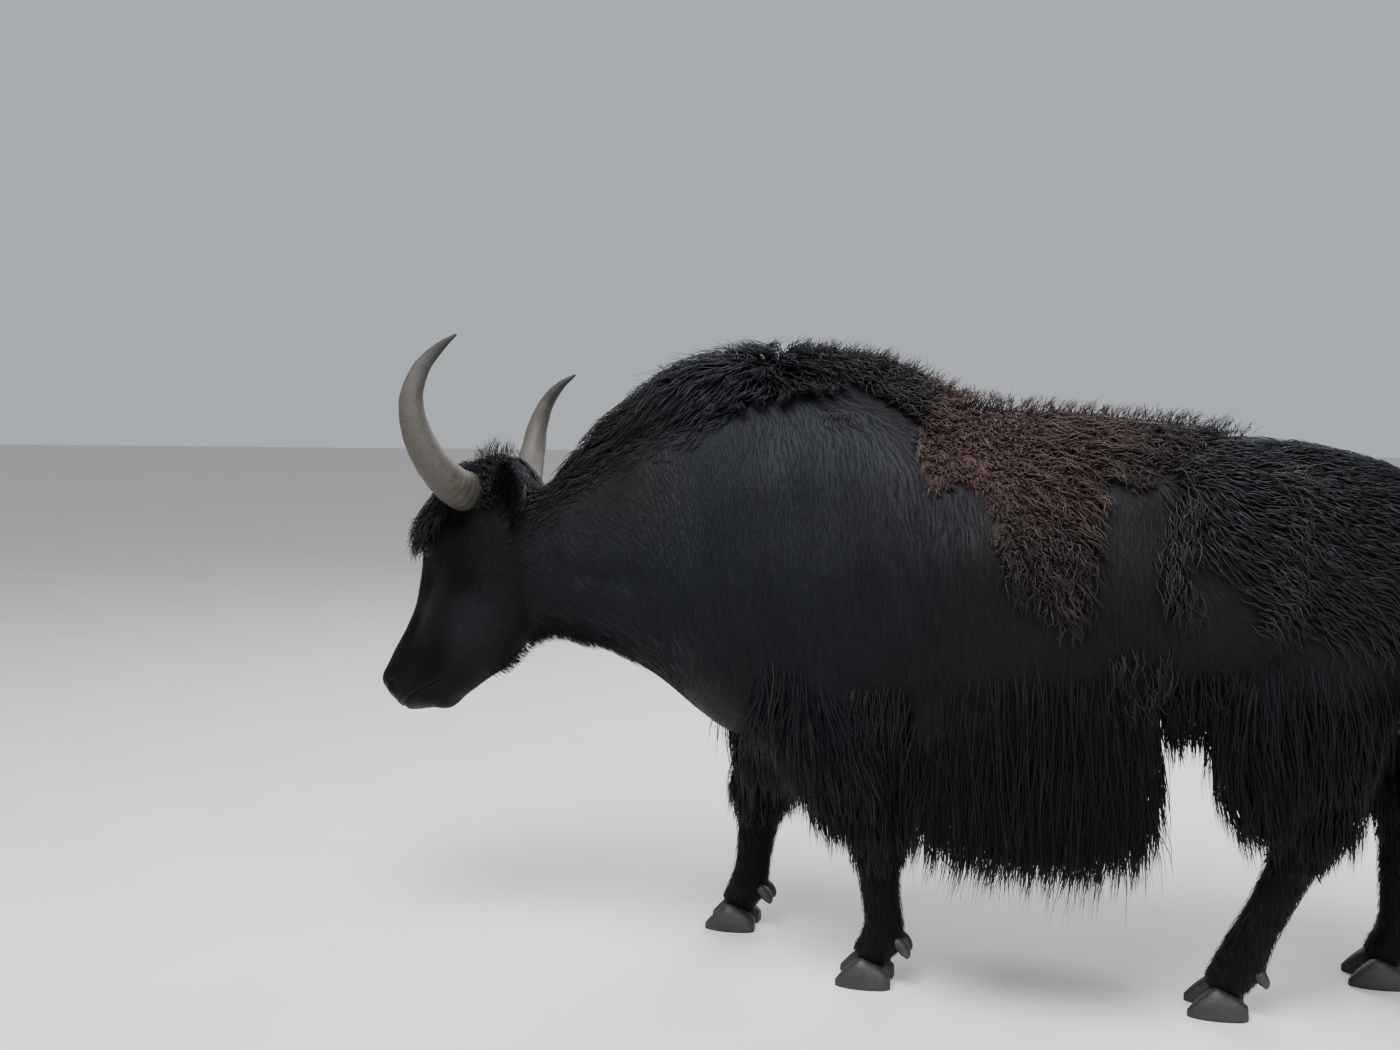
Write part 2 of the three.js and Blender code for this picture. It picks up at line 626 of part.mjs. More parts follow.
const legSpecs = {
  front_left: {
    seed: 41,
    side: -1,
    upper: [
      ring(-215, -150, 900, 92, 120, 120),
      ring(-170, -178, 800, 96, 128, 128),
      ring(-118, -186, 690, 88, 112, 112),
      ring(-75, -172, 575, 66, 84, 84),
      ring(-45, -158, 460, 56, 66, 66),
      ring(-28, -150, 375, 50, 58, 56),
      ring(-26, -148, 330, 44, 50, 50),
    ],
    lower: [
      ring(-30, -149, 395, 40, 44, 44),
      ring(-32, -148, 350, 54, 60, 62),
      ring(-33, -146, 305, 54, 58, 62),
      ring(-31, -144, 255, 46, 52, 52),
      ring(-26, -142, 190, 43, 48, 47),
      ring(-22, -140, 140, 46, 52, 48),
      ring(-26, -140, 105, 52, 56, 50),
      ring(-44, -140, 74, 48, 48, 46),
      ring(-54, -140, 50, 46, 46, 48),
    ],
    sleeve: [
      ring(-170, -166, 780, 90, 140, 130),
      ring(-140, -186, 690, 102, 160, 150),
      ring(-120, -188, 590, 98, 152, 160),
      ring(-95, -176, 500, 82, 125, 140),
      ring(-55, -162, 420, 64, 90, 100),
      ring(-40, -152, 365, 48, 62, 66),
    ],
    foot: { x: -62, y: -140 },
  },
  front_right: {
    seed: 43,
    side: 1,
    upper: [
      ring(-240, 150, 900, 92, 120, 120),
      ring(-225, 178, 800, 96, 124, 124),
      ring(-225, 184, 690, 86, 108, 108),
      ring(-268, 168, 575, 66, 80, 80),
      ring(-318, 152, 460, 56, 64, 64),
      ring(-352, 142, 375, 50, 58, 56),
      ring(-360, 140, 330, 44, 50, 50),
    ],
    lower: [
      ring(-350, 143, 392, 40, 44, 44),
      ring(-356, 140, 350, 54, 60, 62),
      ring(-362, 138, 305, 54, 58, 60),
      ring(-368, 136, 255, 46, 52, 52),
      ring(-376, 134, 190, 43, 48, 47),
      ring(-383, 132, 140, 46, 52, 48),
      ring(-393, 132, 105, 52, 56, 50),
      ring(-411, 132, 74, 48, 48, 46),
      ring(-421, 132, 50, 46, 46, 48),
    ],
    sleeve: [
      ring(-235, 166, 780, 90, 150, 140),
      ring(-270, 186, 690, 102, 150, 165),
      ring(-300, 184, 590, 96, 130, 165),
      ring(-330, 168, 500, 80, 105, 130),
      ring(-350, 152, 420, 62, 80, 92),
      ring(-358, 146, 365, 48, 62, 66),
    ],
    foot: { x: -429, y: 132 },
  },
  hind_left: {
    seed: 47,
    side: -1,
    upper: [
      ring(980, -100, 1050, 90, 110, 110),
      ring(945, -130, 960, 104, 150, 150),
      ring(900, -166, 840, 112, 165, 172),
      ring(860, -178, 715, 98, 142, 150),
      ring(855, -172, 600, 76, 104, 112),
      ring(875, -160, 510, 60, 76, 82),
      ring(884, -152, 445, 50, 62, 62),
    ],
    lower: [
      ring(880, -154, 505, 34, 44, 40),
      ring(884, -152, 455, 44, 66, 54),
      ring(872, -150, 405, 44, 62, 52),
      ring(842, -143, 345, 43, 54, 52),
      ring(804, -137, 255, 42, 50, 48),
      ring(772, -131, 180, 43, 50, 48),
      ring(750, -127, 130, 48, 56, 50),
      ring(736, -125, 98, 51, 55, 51),
      ring(718, -124, 70, 48, 48, 48),
      ring(708, -124, 50, 46, 46, 48),
    ],
    sleeve: [
      ring(880, -150, 860, 100, 160, 160),
      ring(840, -176, 760, 114, 190, 185),
      ring(815, -188, 650, 110, 200, 180),
      ring(810, -182, 550, 98, 185, 160),
      ring(832, -168, 470, 76, 130, 130),
      ring(848, -158, 400, 50, 72, 72),
    ],
    foot: { x: 698, y: -124 },
  },
  hind_right: {
    seed: 53,
    side: 1,
    upper: [
      ring(985, 100, 1050, 90, 110, 110),
      ring(962, 130, 960, 104, 148, 150),
      ring(938, 166, 840, 112, 155, 168),
      ring(930, 178, 715, 98, 138, 146),
      ring(985, 170, 600, 76, 104, 108),
      ring(1052, 156, 510, 60, 76, 80),
      ring(1092, 146, 445, 50, 62, 62),
    ],
    lower: [
      ring(1060, 152, 500, 34, 44, 40),
      ring(1094, 146, 455, 44, 64, 52),
      ring(1106, 144, 405, 44, 60, 50),
      ring(1110, 141, 345, 43, 54, 50),
      ring(1113, 138, 255, 42, 50, 48),
      ring(1117, 136, 180, 43, 50, 47),
      ring(1116, 134, 130, 48, 56, 49),
      ring(1106, 134, 98, 51, 55, 50),
      ring(1088, 134, 70, 48, 48, 48),
      ring(1078, 134, 50, 46, 46, 48),
    ],
    sleeve: [
      ring(930, 150, 860, 100, 160, 160),
      ring(905, 176, 760, 114, 190, 185),
      ring(915, 186, 650, 108, 190, 185),
      ring(960, 178, 550, 94, 165, 165),
      ring(1020, 164, 470, 74, 115, 125),
      ring(1060, 152, 405, 50, 70, 72),
    ],
    foot: { x: 1068, y: 134 },
  },
};

// Hair on the upper leg: the sleeve's rings reach to its tips, and its core stays this far inside.
const sleeveDepth = 36;
const sleeveLock = { length: 190, width: 122, thick: 30, lift: 0.12, sink: 62, sway: 0.12, rise: 0.02 };

function sleeveCoat(leg, seed) {
  const chance = seeded(seed);
  const locks = [];
  const fullest = leg.side > 0 ? 0 : 180;
  for (const [place, angles] of [[1.6, [-60, 40]], [2.5, [-82, -12, 66]], [3.4, [-52, 34]]]) {
    for (const angle of angles) locks.push(lockOn(leg.sleeveForm, place, fullest + angle, hanging, sleeveLock, chance));
  }
  return locks;
}

for (const leg of Object.values(legSpecs)) {
  leg.upperForm = new Form(leg.upper);
  leg.lowerForm = new Form(leg.lower);
  leg.sleeveForm = new Form(leg.sleeve);
  leg.coat = sleeveCoat(leg, leg.seed);
}

// Claws: two to a foot, each with a flat sole on the floor, its wall highest above the toe.

const claw = { length: 124, half: 29, height: 64, spread: 33, splay: 5 * degrees };

function clawGeometry(foot, outer, grow = 0) {
  const stations = [
    { at: 0, half: 0.55, high: 0.46 },
    { at: 0.1, half: 0.86, high: 0.62 },
    { at: 0.32, half: 1, high: 0.86 },
    { at: 0.55, half: 0.98, high: 1 },
    { at: 0.76, half: 0.78, high: 0.72 },
    { at: 0.92, half: 0.46, high: 0.4 },
    { at: 1, half: 0.16, high: 0.22 },
  ];
  const ahead = vec(-Math.cos(claw.splay), outer * Math.sin(claw.splay), 0);
  const across = vec(0, 0, 1).cross(ahead);
  const heel = vec(foot.x + claw.length * 0.5, foot.y + outer * claw.spread, 0);
  const sides = 8;
  const sections = stations.map((station) => {
    const shift = station.at === 0 ? -grow : station.at === 1 ? grow : 0;
    const centre = heel.clone().addScaledVector(ahead, claw.length * station.at + shift);
    const high = claw.height * station.high + grow;
    const half = claw.half * station.half + grow;
    const section = [];
    for (let j = 0; j < sides; j++) {
      const angle = (full * j) / sides;
      const rise = 0.36 * high + (high * 0.64) * bulge(0.7, Math.sin(angle));
      const width = half * bulge(0.8, Math.cos(angle)) * (1 - 0.28 * Math.max(rise / high, 0));
      section.push(centre.clone().addScaledVector(across, width).setZ(Math.max(rise, 0)));
    }
    return section;
  });
  return new LoftGeometry(sections, { capStart: true, capEnd: true });
}

// Dewclaws: two short cones behind each fetlock.

function dewclawGeometry(leg, outer, grow = 0) {
  const form = new Form(
    [
      ring(leg.foot.x + 66, leg.foot.y + outer * 20, 108, 12, 12),
      ring(leg.foot.x + 84, leg.foot.y + outer * 23, 96, 16, 15),
      ring(leg.foot.x + 96, leg.foot.y + outer * 25, 80, 13, 12),
      ring(leg.foot.x + 100, leg.foot.y + outer * 26, 68, 6, 5),
    ],
  );
  return form.geometry({ steps: 3, sides: 6, grow });
}

// Tail

const tailRoot = new Form([
  ring(1110, 0, 1085, 44, 40, 40),
  ring(1175, 0, 1085, 46, 42, 42),
  ring(1232, 0, 1040, 44, 42, 42),
  ring(1262, 0, 960, 42, 42, 40),
  ring(1270, 0, 860, 42, 42, 38),
]);

const tailSwitch = new Form([
  ring(1270, 0, 900, 40, 38, 36),
  ring(1274, 0, 820, 52, 46, 42),
  ring(1276, 0, 680, 68, 54, 50),
  ring(1272, 0, 540, 74, 54, 52),
  ring(1266, 0, 430, 56, 44, 42),
  ring(1262, 0, 340, 14, 12, 12),
]);

const tailDepth = 24;
const tailLock = { length: 300, width: 100, thick: 24, lift: 0.1, sink: 44, sway: 0.12, rise: 0.03 };

function tailCoat() {
  const chance = seeded(61);
  const locks = [];
  for (const [place, first] of [[0.8, 0], [2.3, 60]]) {
    for (const turned of [0, 120, 240]) {
      locks.push(lockOn(tailSwitch, place, first + turned, hanging, tailLock, chance));
    }
  }
  return locks;
}

// Assembly

const sides = { left: 1, right: -1 };
const yak = new THREE.Group();
yak.name = 'yak';
yak.position.copy(middle).negate();

const add = (name, solid, look) => yak.add(toMesh(name, solid, look));

// Tufts of the head: the forelock, the brows and the poll.
const forelock = { length: 120, width: 74, thick: 20, lift: 0.16, sink: 26, sway: 0.2, rise: 0.1 };
const browTuft = { length: 66, width: 46, thick: 15, lift: 0.18, sink: 20, sway: 0.2, rise: 0.2 };
const pollTuft = { length: 90, width: 60, thick: 22, lift: 0.2, sink: 26, sway: 0.3, rise: 0.3 };

function headCoat() {
  const chance = seeded(71);
  const tuft = (place, angle, lie, size) => lockOn(skull, place, angle, lie, size, chance);
  const locks = [];
  for (const angle of [54, 92, 128]) locks.push(tuft(2.2, angle, downFace, forelock));
  for (const angle of [70, 110]) locks.push(tuft(3.4, angle, downFace, forelock));
  for (const angle of [46, 134]) locks.push(tuft(4.4, angle, downFace, browTuft));
  for (const angle of [64, 116]) locks.push(tuft(4.9, angle, downFace, browTuft));
  for (const angle of [60, 120]) locks.push(tuft(1, angle, headForward.clone().negate(), pollTuft));
  return locks;
}

const headLocks = headCoat();
const headCore = (grow = 0) => [
  skull.geometry({ steps: 18, sides: 18, grow }),
  ...headLocks.map((one) => lock(one, grow)),
];

function makeHead() {
  const parts = [...headCore(), ...lipGeometries()];
  for (const side of [1, -1]) parts.push(lidGeometry(side), browGeometry(side));
  const cuts = [mouthGeometry()];
  for (const side of [1, -1]) cuts.push(lidSlitGeometry(side), nostrilGeometry(side), earGeometry(side, clearance));
  let head = join(parts).subtract(join(cuts));
  for (const side of [1, -1]) head = head.subtract(eyeSolid(side, clearance)).subtract(hornSolid(side, clearance));
  return head;
}

add('head', makeHead(), coat);
for (const [name, side] of Object.entries(sides)) {
  add(`eye_${name}`, eyeSolid(side), eyeball);
  add(`horn_${name}`, hornSolid(side), keratin);
  add(`ear_${name}`, toSolid(earGeometry(side)), coat);
}

const upperLeg = (leg, grow = 0) =>
  join([
    leg.upperForm.geometry({ steps: 5, sides: 8, grow }),
    leg.sleeveForm.geometry({ steps: 4, sides: 8, grow: grow - sleeveDepth }),
    ...leg.coat.map((one) => lock(one, grow)),
  ]);
const lowerLeg = (leg, grow = 0) => toSolid(leg.lowerForm.geometry({ steps: 10, sides: 8, grow }));

// The trunk's stretches give way to the head, the upper legs and the tail.
const grownHead = join([...headCore(clearance), ...[1, -1].map((side) => earGeometry(side, clearance))])
  .add(hornSolid(1, clearance))
  .add(hornSolid(-1, clearance));
const grownLegs = wasm.Manifold.union(Object.values(legSpecs).map((leg) => upperLeg(leg, clearance)));
const grownTailRoot = toSolid(tailRoot.geometry({ steps: 5, sides: 8, grow: clearance }));
const tailSolid = (grow = 0) =>
  join([
    tailSwitch.geometry({ steps: 7, sides: 8, grow: grow - tailDepth }),
    ...tailCoat().map((one) => lock(one, grow)),
  ]);
const grownTail = grownTailRoot.add(tailSolid(clearance));

const coatOfTrunk = trunkCoat();
const stretches = [
  { name: 'neck', from: neckEnd, to: neckToShoulders, steps: 7, neighbour: grownHead },
  { name: 'shoulders', from: neckToShoulders, to: shouldersToBarrel, steps: 7 },
  { name: 'barrel', from: shouldersToBarrel, to: barrelToHindquarters, steps: 6 },
  { name: 'hindquarters', from: barrelToHindquarters, to: rumpEnd + longestLock, steps: 9, neighbour: grownTail },
];
for (const { name, from, to, steps, neighbour } of stretches) {
  const solid = trunkStretch(from, to, steps, coatOfTrunk);
  add(name, neighbour ? solid.subtract(neighbour) : solid, coat);
}

// What hangs at the trunk gives way to it, and to the fringe of the brisket.
const fringe = coatOfTrunk.filter(({ sink }) => sink === fringeLock.sink);
const grownTrunk = wasm.Manifold.union(
  stretches.map(({ from, to, steps }) => {
    return toSolid(trunk.geometry({ ...overrun(trunk, from, to), steps, sides: 20, grow: clearance }));
  }),
).add(join(fringe.map((one) => lock(one, clearance))));
for (const [name, side] of Object.entries({ left: -1, right: 1 })) {
  const curtain = skirtForm(side).geometry({ steps: 5, sides: 8 });
  const solid = join([curtain, ...skirtCoat(side).map((one) => lock(one))]);
  add(`skirt_${name}`, solid.subtract(grownTrunk).subtract(grownLegs), coat);
}

for (const [name, leg] of Object.entries(legSpecs)) {
  const hard = [];
  for (const [place, outer] of [['outer', leg.side], ['inner', -leg.side]]) {
    add(`claw_${name}_${place}`, toSolid(clawGeometry(leg.foot, outer)), hoofHorn);
    add(`dewclaw_${name}_${place}`, toSolid(dewclawGeometry(leg, outer)), hoofHorn);
    hard.push(clawGeometry(leg.foot, outer, clearance), dewclawGeometry(leg, outer, clearance));
  }
  add(`leg_${name}_lower`, lowerLeg(leg).subtract(join(hard)), coat);
  add(`leg_${name}_upper`, upperLeg(leg).subtract(grownTrunk).subtract(lowerLeg(leg, clearance)), coat);
}

add('tail_root', toSolid(tailRoot.geometry({ steps: 5, sides: 8 })), coat);
add('tail_switch', tailSolid().subtract(grownTailRoot), coat);

export default yak;
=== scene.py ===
# %% [markdown]
# # A yak bull in summer moult
#
# A life-size yak stands as a museum would show it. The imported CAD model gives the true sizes
# and the places of its parts. This lesson dresses that model: one skin over all the flesh, then
# the coat, tuft by tuft, and at last the horns, hooves, eyes, light and camera.

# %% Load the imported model
import math

import bpy
import numpy as np
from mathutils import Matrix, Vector
from mathutils.bvhtree import BVHTree
from mathutils.kdtree import KDTree


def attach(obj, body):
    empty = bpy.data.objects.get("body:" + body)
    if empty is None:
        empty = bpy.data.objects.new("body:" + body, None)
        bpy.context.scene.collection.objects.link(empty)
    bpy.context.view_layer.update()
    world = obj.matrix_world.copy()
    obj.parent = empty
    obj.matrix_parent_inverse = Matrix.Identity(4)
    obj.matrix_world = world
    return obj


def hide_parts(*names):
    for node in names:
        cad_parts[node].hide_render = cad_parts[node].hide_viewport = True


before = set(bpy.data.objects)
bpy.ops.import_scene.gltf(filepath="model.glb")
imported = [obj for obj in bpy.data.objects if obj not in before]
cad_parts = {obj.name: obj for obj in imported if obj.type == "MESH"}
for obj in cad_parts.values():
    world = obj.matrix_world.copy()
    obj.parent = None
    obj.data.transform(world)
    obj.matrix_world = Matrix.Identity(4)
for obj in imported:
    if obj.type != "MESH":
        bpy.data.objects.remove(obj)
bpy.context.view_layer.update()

# %% [markdown]
# Sizes are written in millimetres and counted from the stations of the CAD source, where the
# head is at -X and the left side at -Y. One function turns them into Blender's metres.

# %% Small tools
middle = np.array([32.0, 13.0, 0.0])
full = 2 * math.pi


def to_metres(points):
    return (np.asarray(points, float) - middle) / 1000


def to_stations(points):
    return np.asarray(points, float) * 1000 + middle


def unit(vectors):
    return vectors / np.maximum(np.linalg.norm(vectors, axis=-1, keepdims=True), 1e-9)


def fade(value, low, high):
    """Goes softly from 0 at low to 1 at high."""
    t = np.clip((value - low) / (high - low), 0, 1)
    return t * t * (3 - 2 * t)


def between(value, low, whole, less, high):
    """Goes softly from 0 at low to 1 at whole, and from 1 at less back to 0 at high."""
    return fade(value, low, whole) * (1 - fade(value, less, high))


def mix(a, b, t):
    return a + (b - a) * t


def ripple(points, size, seed):
    """A soft random pattern between about -1 and 1, with features of a size in millimetres."""
    chance = np.random.default_rng(seed)
    total = 0
    for _ in range(5):
        way = unit(chance.normal(size=3)) * full / (size * chance.uniform(0.7, 1.5))
        total = total + np.sin(points @ way + chance.uniform(0, full))
    return total / 2.6


def smooth_line(places, values, wanted):
    """A smooth line through values: at each one its slope is the mean of its neighbours'."""
    places = np.asarray(places, float)
    values = np.asarray(values, float)
    wanted = np.clip(wanted, places[0], places[-1])
    rises = (np.diff(values, axis=0).T / np.diff(places)).T
    slopes = np.concatenate([rises[:1], (rises[:-1] + rises[1:]) / 2, rises[-1:]])
    at = np.clip(np.searchsorted(places, wanted, side="right") - 1, 0, len(places) - 2)
    span = places[at + 1] - places[at]
    t = (wanted - places[at]) / span
    if values.ndim > 1:
        t, span = t[:, None], span[:, None]
    return (
        values[at] * (2 * t**3 - 3 * t**2 + 1)
        + slopes[at] * span * (t**3 - 2 * t**2 + t)
        + values[at + 1] * (3 * t**2 - 2 * t**3)
        + slopes[at + 1] * span * (t**3 - t**2)
    )


def deselect():
    if bpy.context.object and bpy.context.object.mode != "OBJECT":
        bpy.ops.object.mode_set(mode="OBJECT")
    bpy.ops.object.select_all(action="DESELECT")


def take(*pieces):
    """Selects these pieces alone, the first as the active one."""
    deselect()
    for piece in pieces:
        piece.select_set(True)
    bpy.context.view_layer.objects.active = pieces[0]


def points_of(piece):
    flat = np.empty(len(piece.data.vertices) * 3, np.float32)
    piece.data.vertices.foreach_get("co", flat)
    return flat.reshape(-1, 3).astype(float)


def normals_of(piece):
    flat = np.empty(len(piece.data.vertices) * 3, np.float32)
    piece.data.vertices.foreach_get("normal", flat)
    return flat.reshape(-1, 3).astype(float)


def set_points(piece, points):
    piece.data.vertices.foreach_set("co", np.ascontiguousarray(points, np.float32).ravel())
    piece.data.update()


def apply_modifier(piece, kind, **settings):
    take(piece)
    bpy.ops.object.modifier_add(type=kind)
    modifier = piece.modifiers[-1]
    for setting, value in settings.items():
        setattr(modifier, setting, value)
    bpy.ops.object.modifier_apply(modifier=modifier.name)


# %% [markdown]
# ## Forms
#
# Flesh has few hard edges, so each part of the body is a form drawn through rings, as a
# sculptor sets plywood sections along a wire. A ring has its centre, its half-width, its height
# above and depth below that centre, and how full its curves are. By hand one could extrude and
# scale a circle for each ring. Here a grid is added, rolled round the form in code, and its seam
# and ends are closed in edit mode: that gives the same rings with even, fine faces.

# %% Forms
def ring(x, y, z, half, above, below=None, upper=1, lower=1):
    return [x, y, z, half, above, above if below is None else below, upper, lower]


def bulge(power, x):
    return np.sign(x) * np.abs(x) ** power


class Form:
    """A smooth skin through rings, which face one way or stand square to their own line."""

    def __init__(self, rows, ring=ring, across=(0, 1, 0), facing=None, along_x=False):
        self.rings = np.array([ring(*row) for row in rows], float)
        self.places = self.rings[:, 0] if along_x else np.arange(len(rows), dtype=float)
        self.first = self.places[0]
        self.last = self.places[-1]
        self.across = np.array(across, float)
        self.facing = None if facing is None else np.array(facing, float)

    def read(self, place):
        return smooth_line(self.places, self.rings, place)

    def heading(self, place):
        if self.facing is not None:
            return np.broadcast_to(self.facing, (len(place), 3))
        step = (self.last - self.first) / 200
        return unit(self.read(place + step)[:, :3] - self.read(place - step)[:, :3])

    def points(self, place, angle, grow=0.0):
        values = self.read(place)
        heading = self.heading(place)
        across = unit(self.across - heading * (heading @ self.across)[:, None])
        up = np.cross(heading, across)
        rise = np.sin(angle)
        power = np.where(rise > 0, values[:, 6], values[:, 7])
        reach = np.where(rise > 0, values[:, 4], values[:, 5])
        side = (values[:, 3] + grow) * bulge(power, np.cos(angle))
        height = (reach + grow) * bulge(power, rise)
        return values[:, :3] + across * side[:, None] + up * height[:, None]


def roll(name, form, steps, sides, grow=0.0, even=None):
    """Rolls a flat grid round a form and closes its seam and ends."""
    deselect()
    bpy.ops.mesh.primitive_grid_add(x_subdivisions=sides, y_subdivisions=steps, size=2)
    piece = bpy.context.object
    piece.name = name
    flat = points_of(piece)
    place = mix(form.first, form.last, (flat[:, 1] + 1) / 2)
    angle = (flat[:, 0] + 1) * math.pi
    if even is not None:
        angle = even_angles(form, even, angle)
    set_points(piece, to_metres(form.points(place, angle, grow)))
    bpy.ops.object.mode_set(mode="EDIT")
    bpy.ops.mesh.select_all(action="SELECT")
    bpy.ops.mesh.remove_doubles(threshold=1e-6)
    bpy.ops.mesh.fill_holes(sides=0)
    bpy.ops.mesh.normals_make_consistent(inside=False)
    bpy.ops.object.mode_set(mode="OBJECT")
    return piece


def even_angles(form, place, angle):
    """Angles that step evenly round the ring at a place."""
    fine = np.linspace(0, full, 721)
    round_it = form.points(np.full(len(fine), float(place)), fine)
    steps = np.linalg.norm(np.diff(round_it, axis=0), axis=1)
    travelled = np.concatenate([[0], np.cumsum(steps)])
    return np.interp(angle / full * travelled[-1], travelled, fine)


# %% [markdown]
# ## The trunk
#
# A yak's trunk is deep and narrow, with a hump over the shoulders where the spines of the
# backbone stand tall. Its coat here is short, so the skin lies about a centimetre inside.

# %% Trunk and crest
def trunk_ring(x, y, top, bottom, half, widest, upper=1, lower=1):
    return ring(x, y, widest, half, top - widest, widest - bottom, upper, lower)


trunk_rows = [
    (-985, 28, 1062, 830, 96, 960, 1, 1), (-900, 24, 1098, 756, 108, 940, 1, 0.9),
    (-800, 16, 1148, 738, 124, 930, 1.05, 1), (-690, 8, 1234, 700, 146, 940, 1.1, 1),
    (-580, 3, 1312, 646, 182, 930, 1.15, 1), (-480, 0, 1366, 574, 226, 900, 1.25, 1),
    (-390, 0, 1390, 524, 256, 880, 1.3, 0.95), (-268, 0, 1396, 522, 276, 860, 1.3, 0.9),
    (-82, 0, 1382, 545, 296, 850, 1.25, 0.85), (60, 0, 1320, 552, 318, 850, 1.15, 0.85),
    (213, 0, 1290, 560, 338, 850, 1.1, 0.85), (430, 0, 1268, 580, 328, 865, 1.05, 0.85),
    (620, 0, 1246, 622, 296, 890, 1, 0.9), (780, 0, 1234, 640, 280, 900, 0.95, 0.95),
    (927, 0, 1208, 640, 272, 900, 0.95, 1), (1046, 0, 1172, 650, 248, 900, 1, 1),
    (1130, 0, 1114, 680, 205, 900, 1, 1), (1190, 0, 1026, 750, 140, 895, 1, 1),
    (1222, 0, 946, 830, 62, 890, 1, 1),
]
trunk = Form(trunk_rows, trunk_ring, facing=(1, 0, 0), along_x=True)


def crest_ring(x, y, tip, half):
    return ring(x, y, tip - 100, half, 100, 60, 1.15, 1)


crest_rows = [
    (-915, 26, 1104, 36), (-833, 18, 1166, 58), (-756, 12, 1244, 74), (-680, 8, 1316, 86),
    (-581, 3, 1387, 98), (-483, 0, 1430, 106), (-363, 0, 1449, 112), (-174, 0, 1444, 112),
    (-82, 0, 1432, 104), (-13, 0, 1410, 94), (44, 0, 1378, 84), (110, 0, 1326, 64),
]
crest = Form(crest_rows, crest_ring, facing=(1, 0, 0), along_x=True)
short_coat = 9
crest_coat = 38
flesh = [roll("trunk", trunk, 130, 72, -short_coat), roll("crest", crest, 60, 24, -crest_coat)]

# %% [markdown]
# ## Legs, skirts and tail
#
# Each leg is two forms, the thick upper leg and the lean lower one, with a core under the long
# hair. The skirts are curtains of hair along the flanks, and a thin core hangs half way down
# them, so that no light comes through the hair.

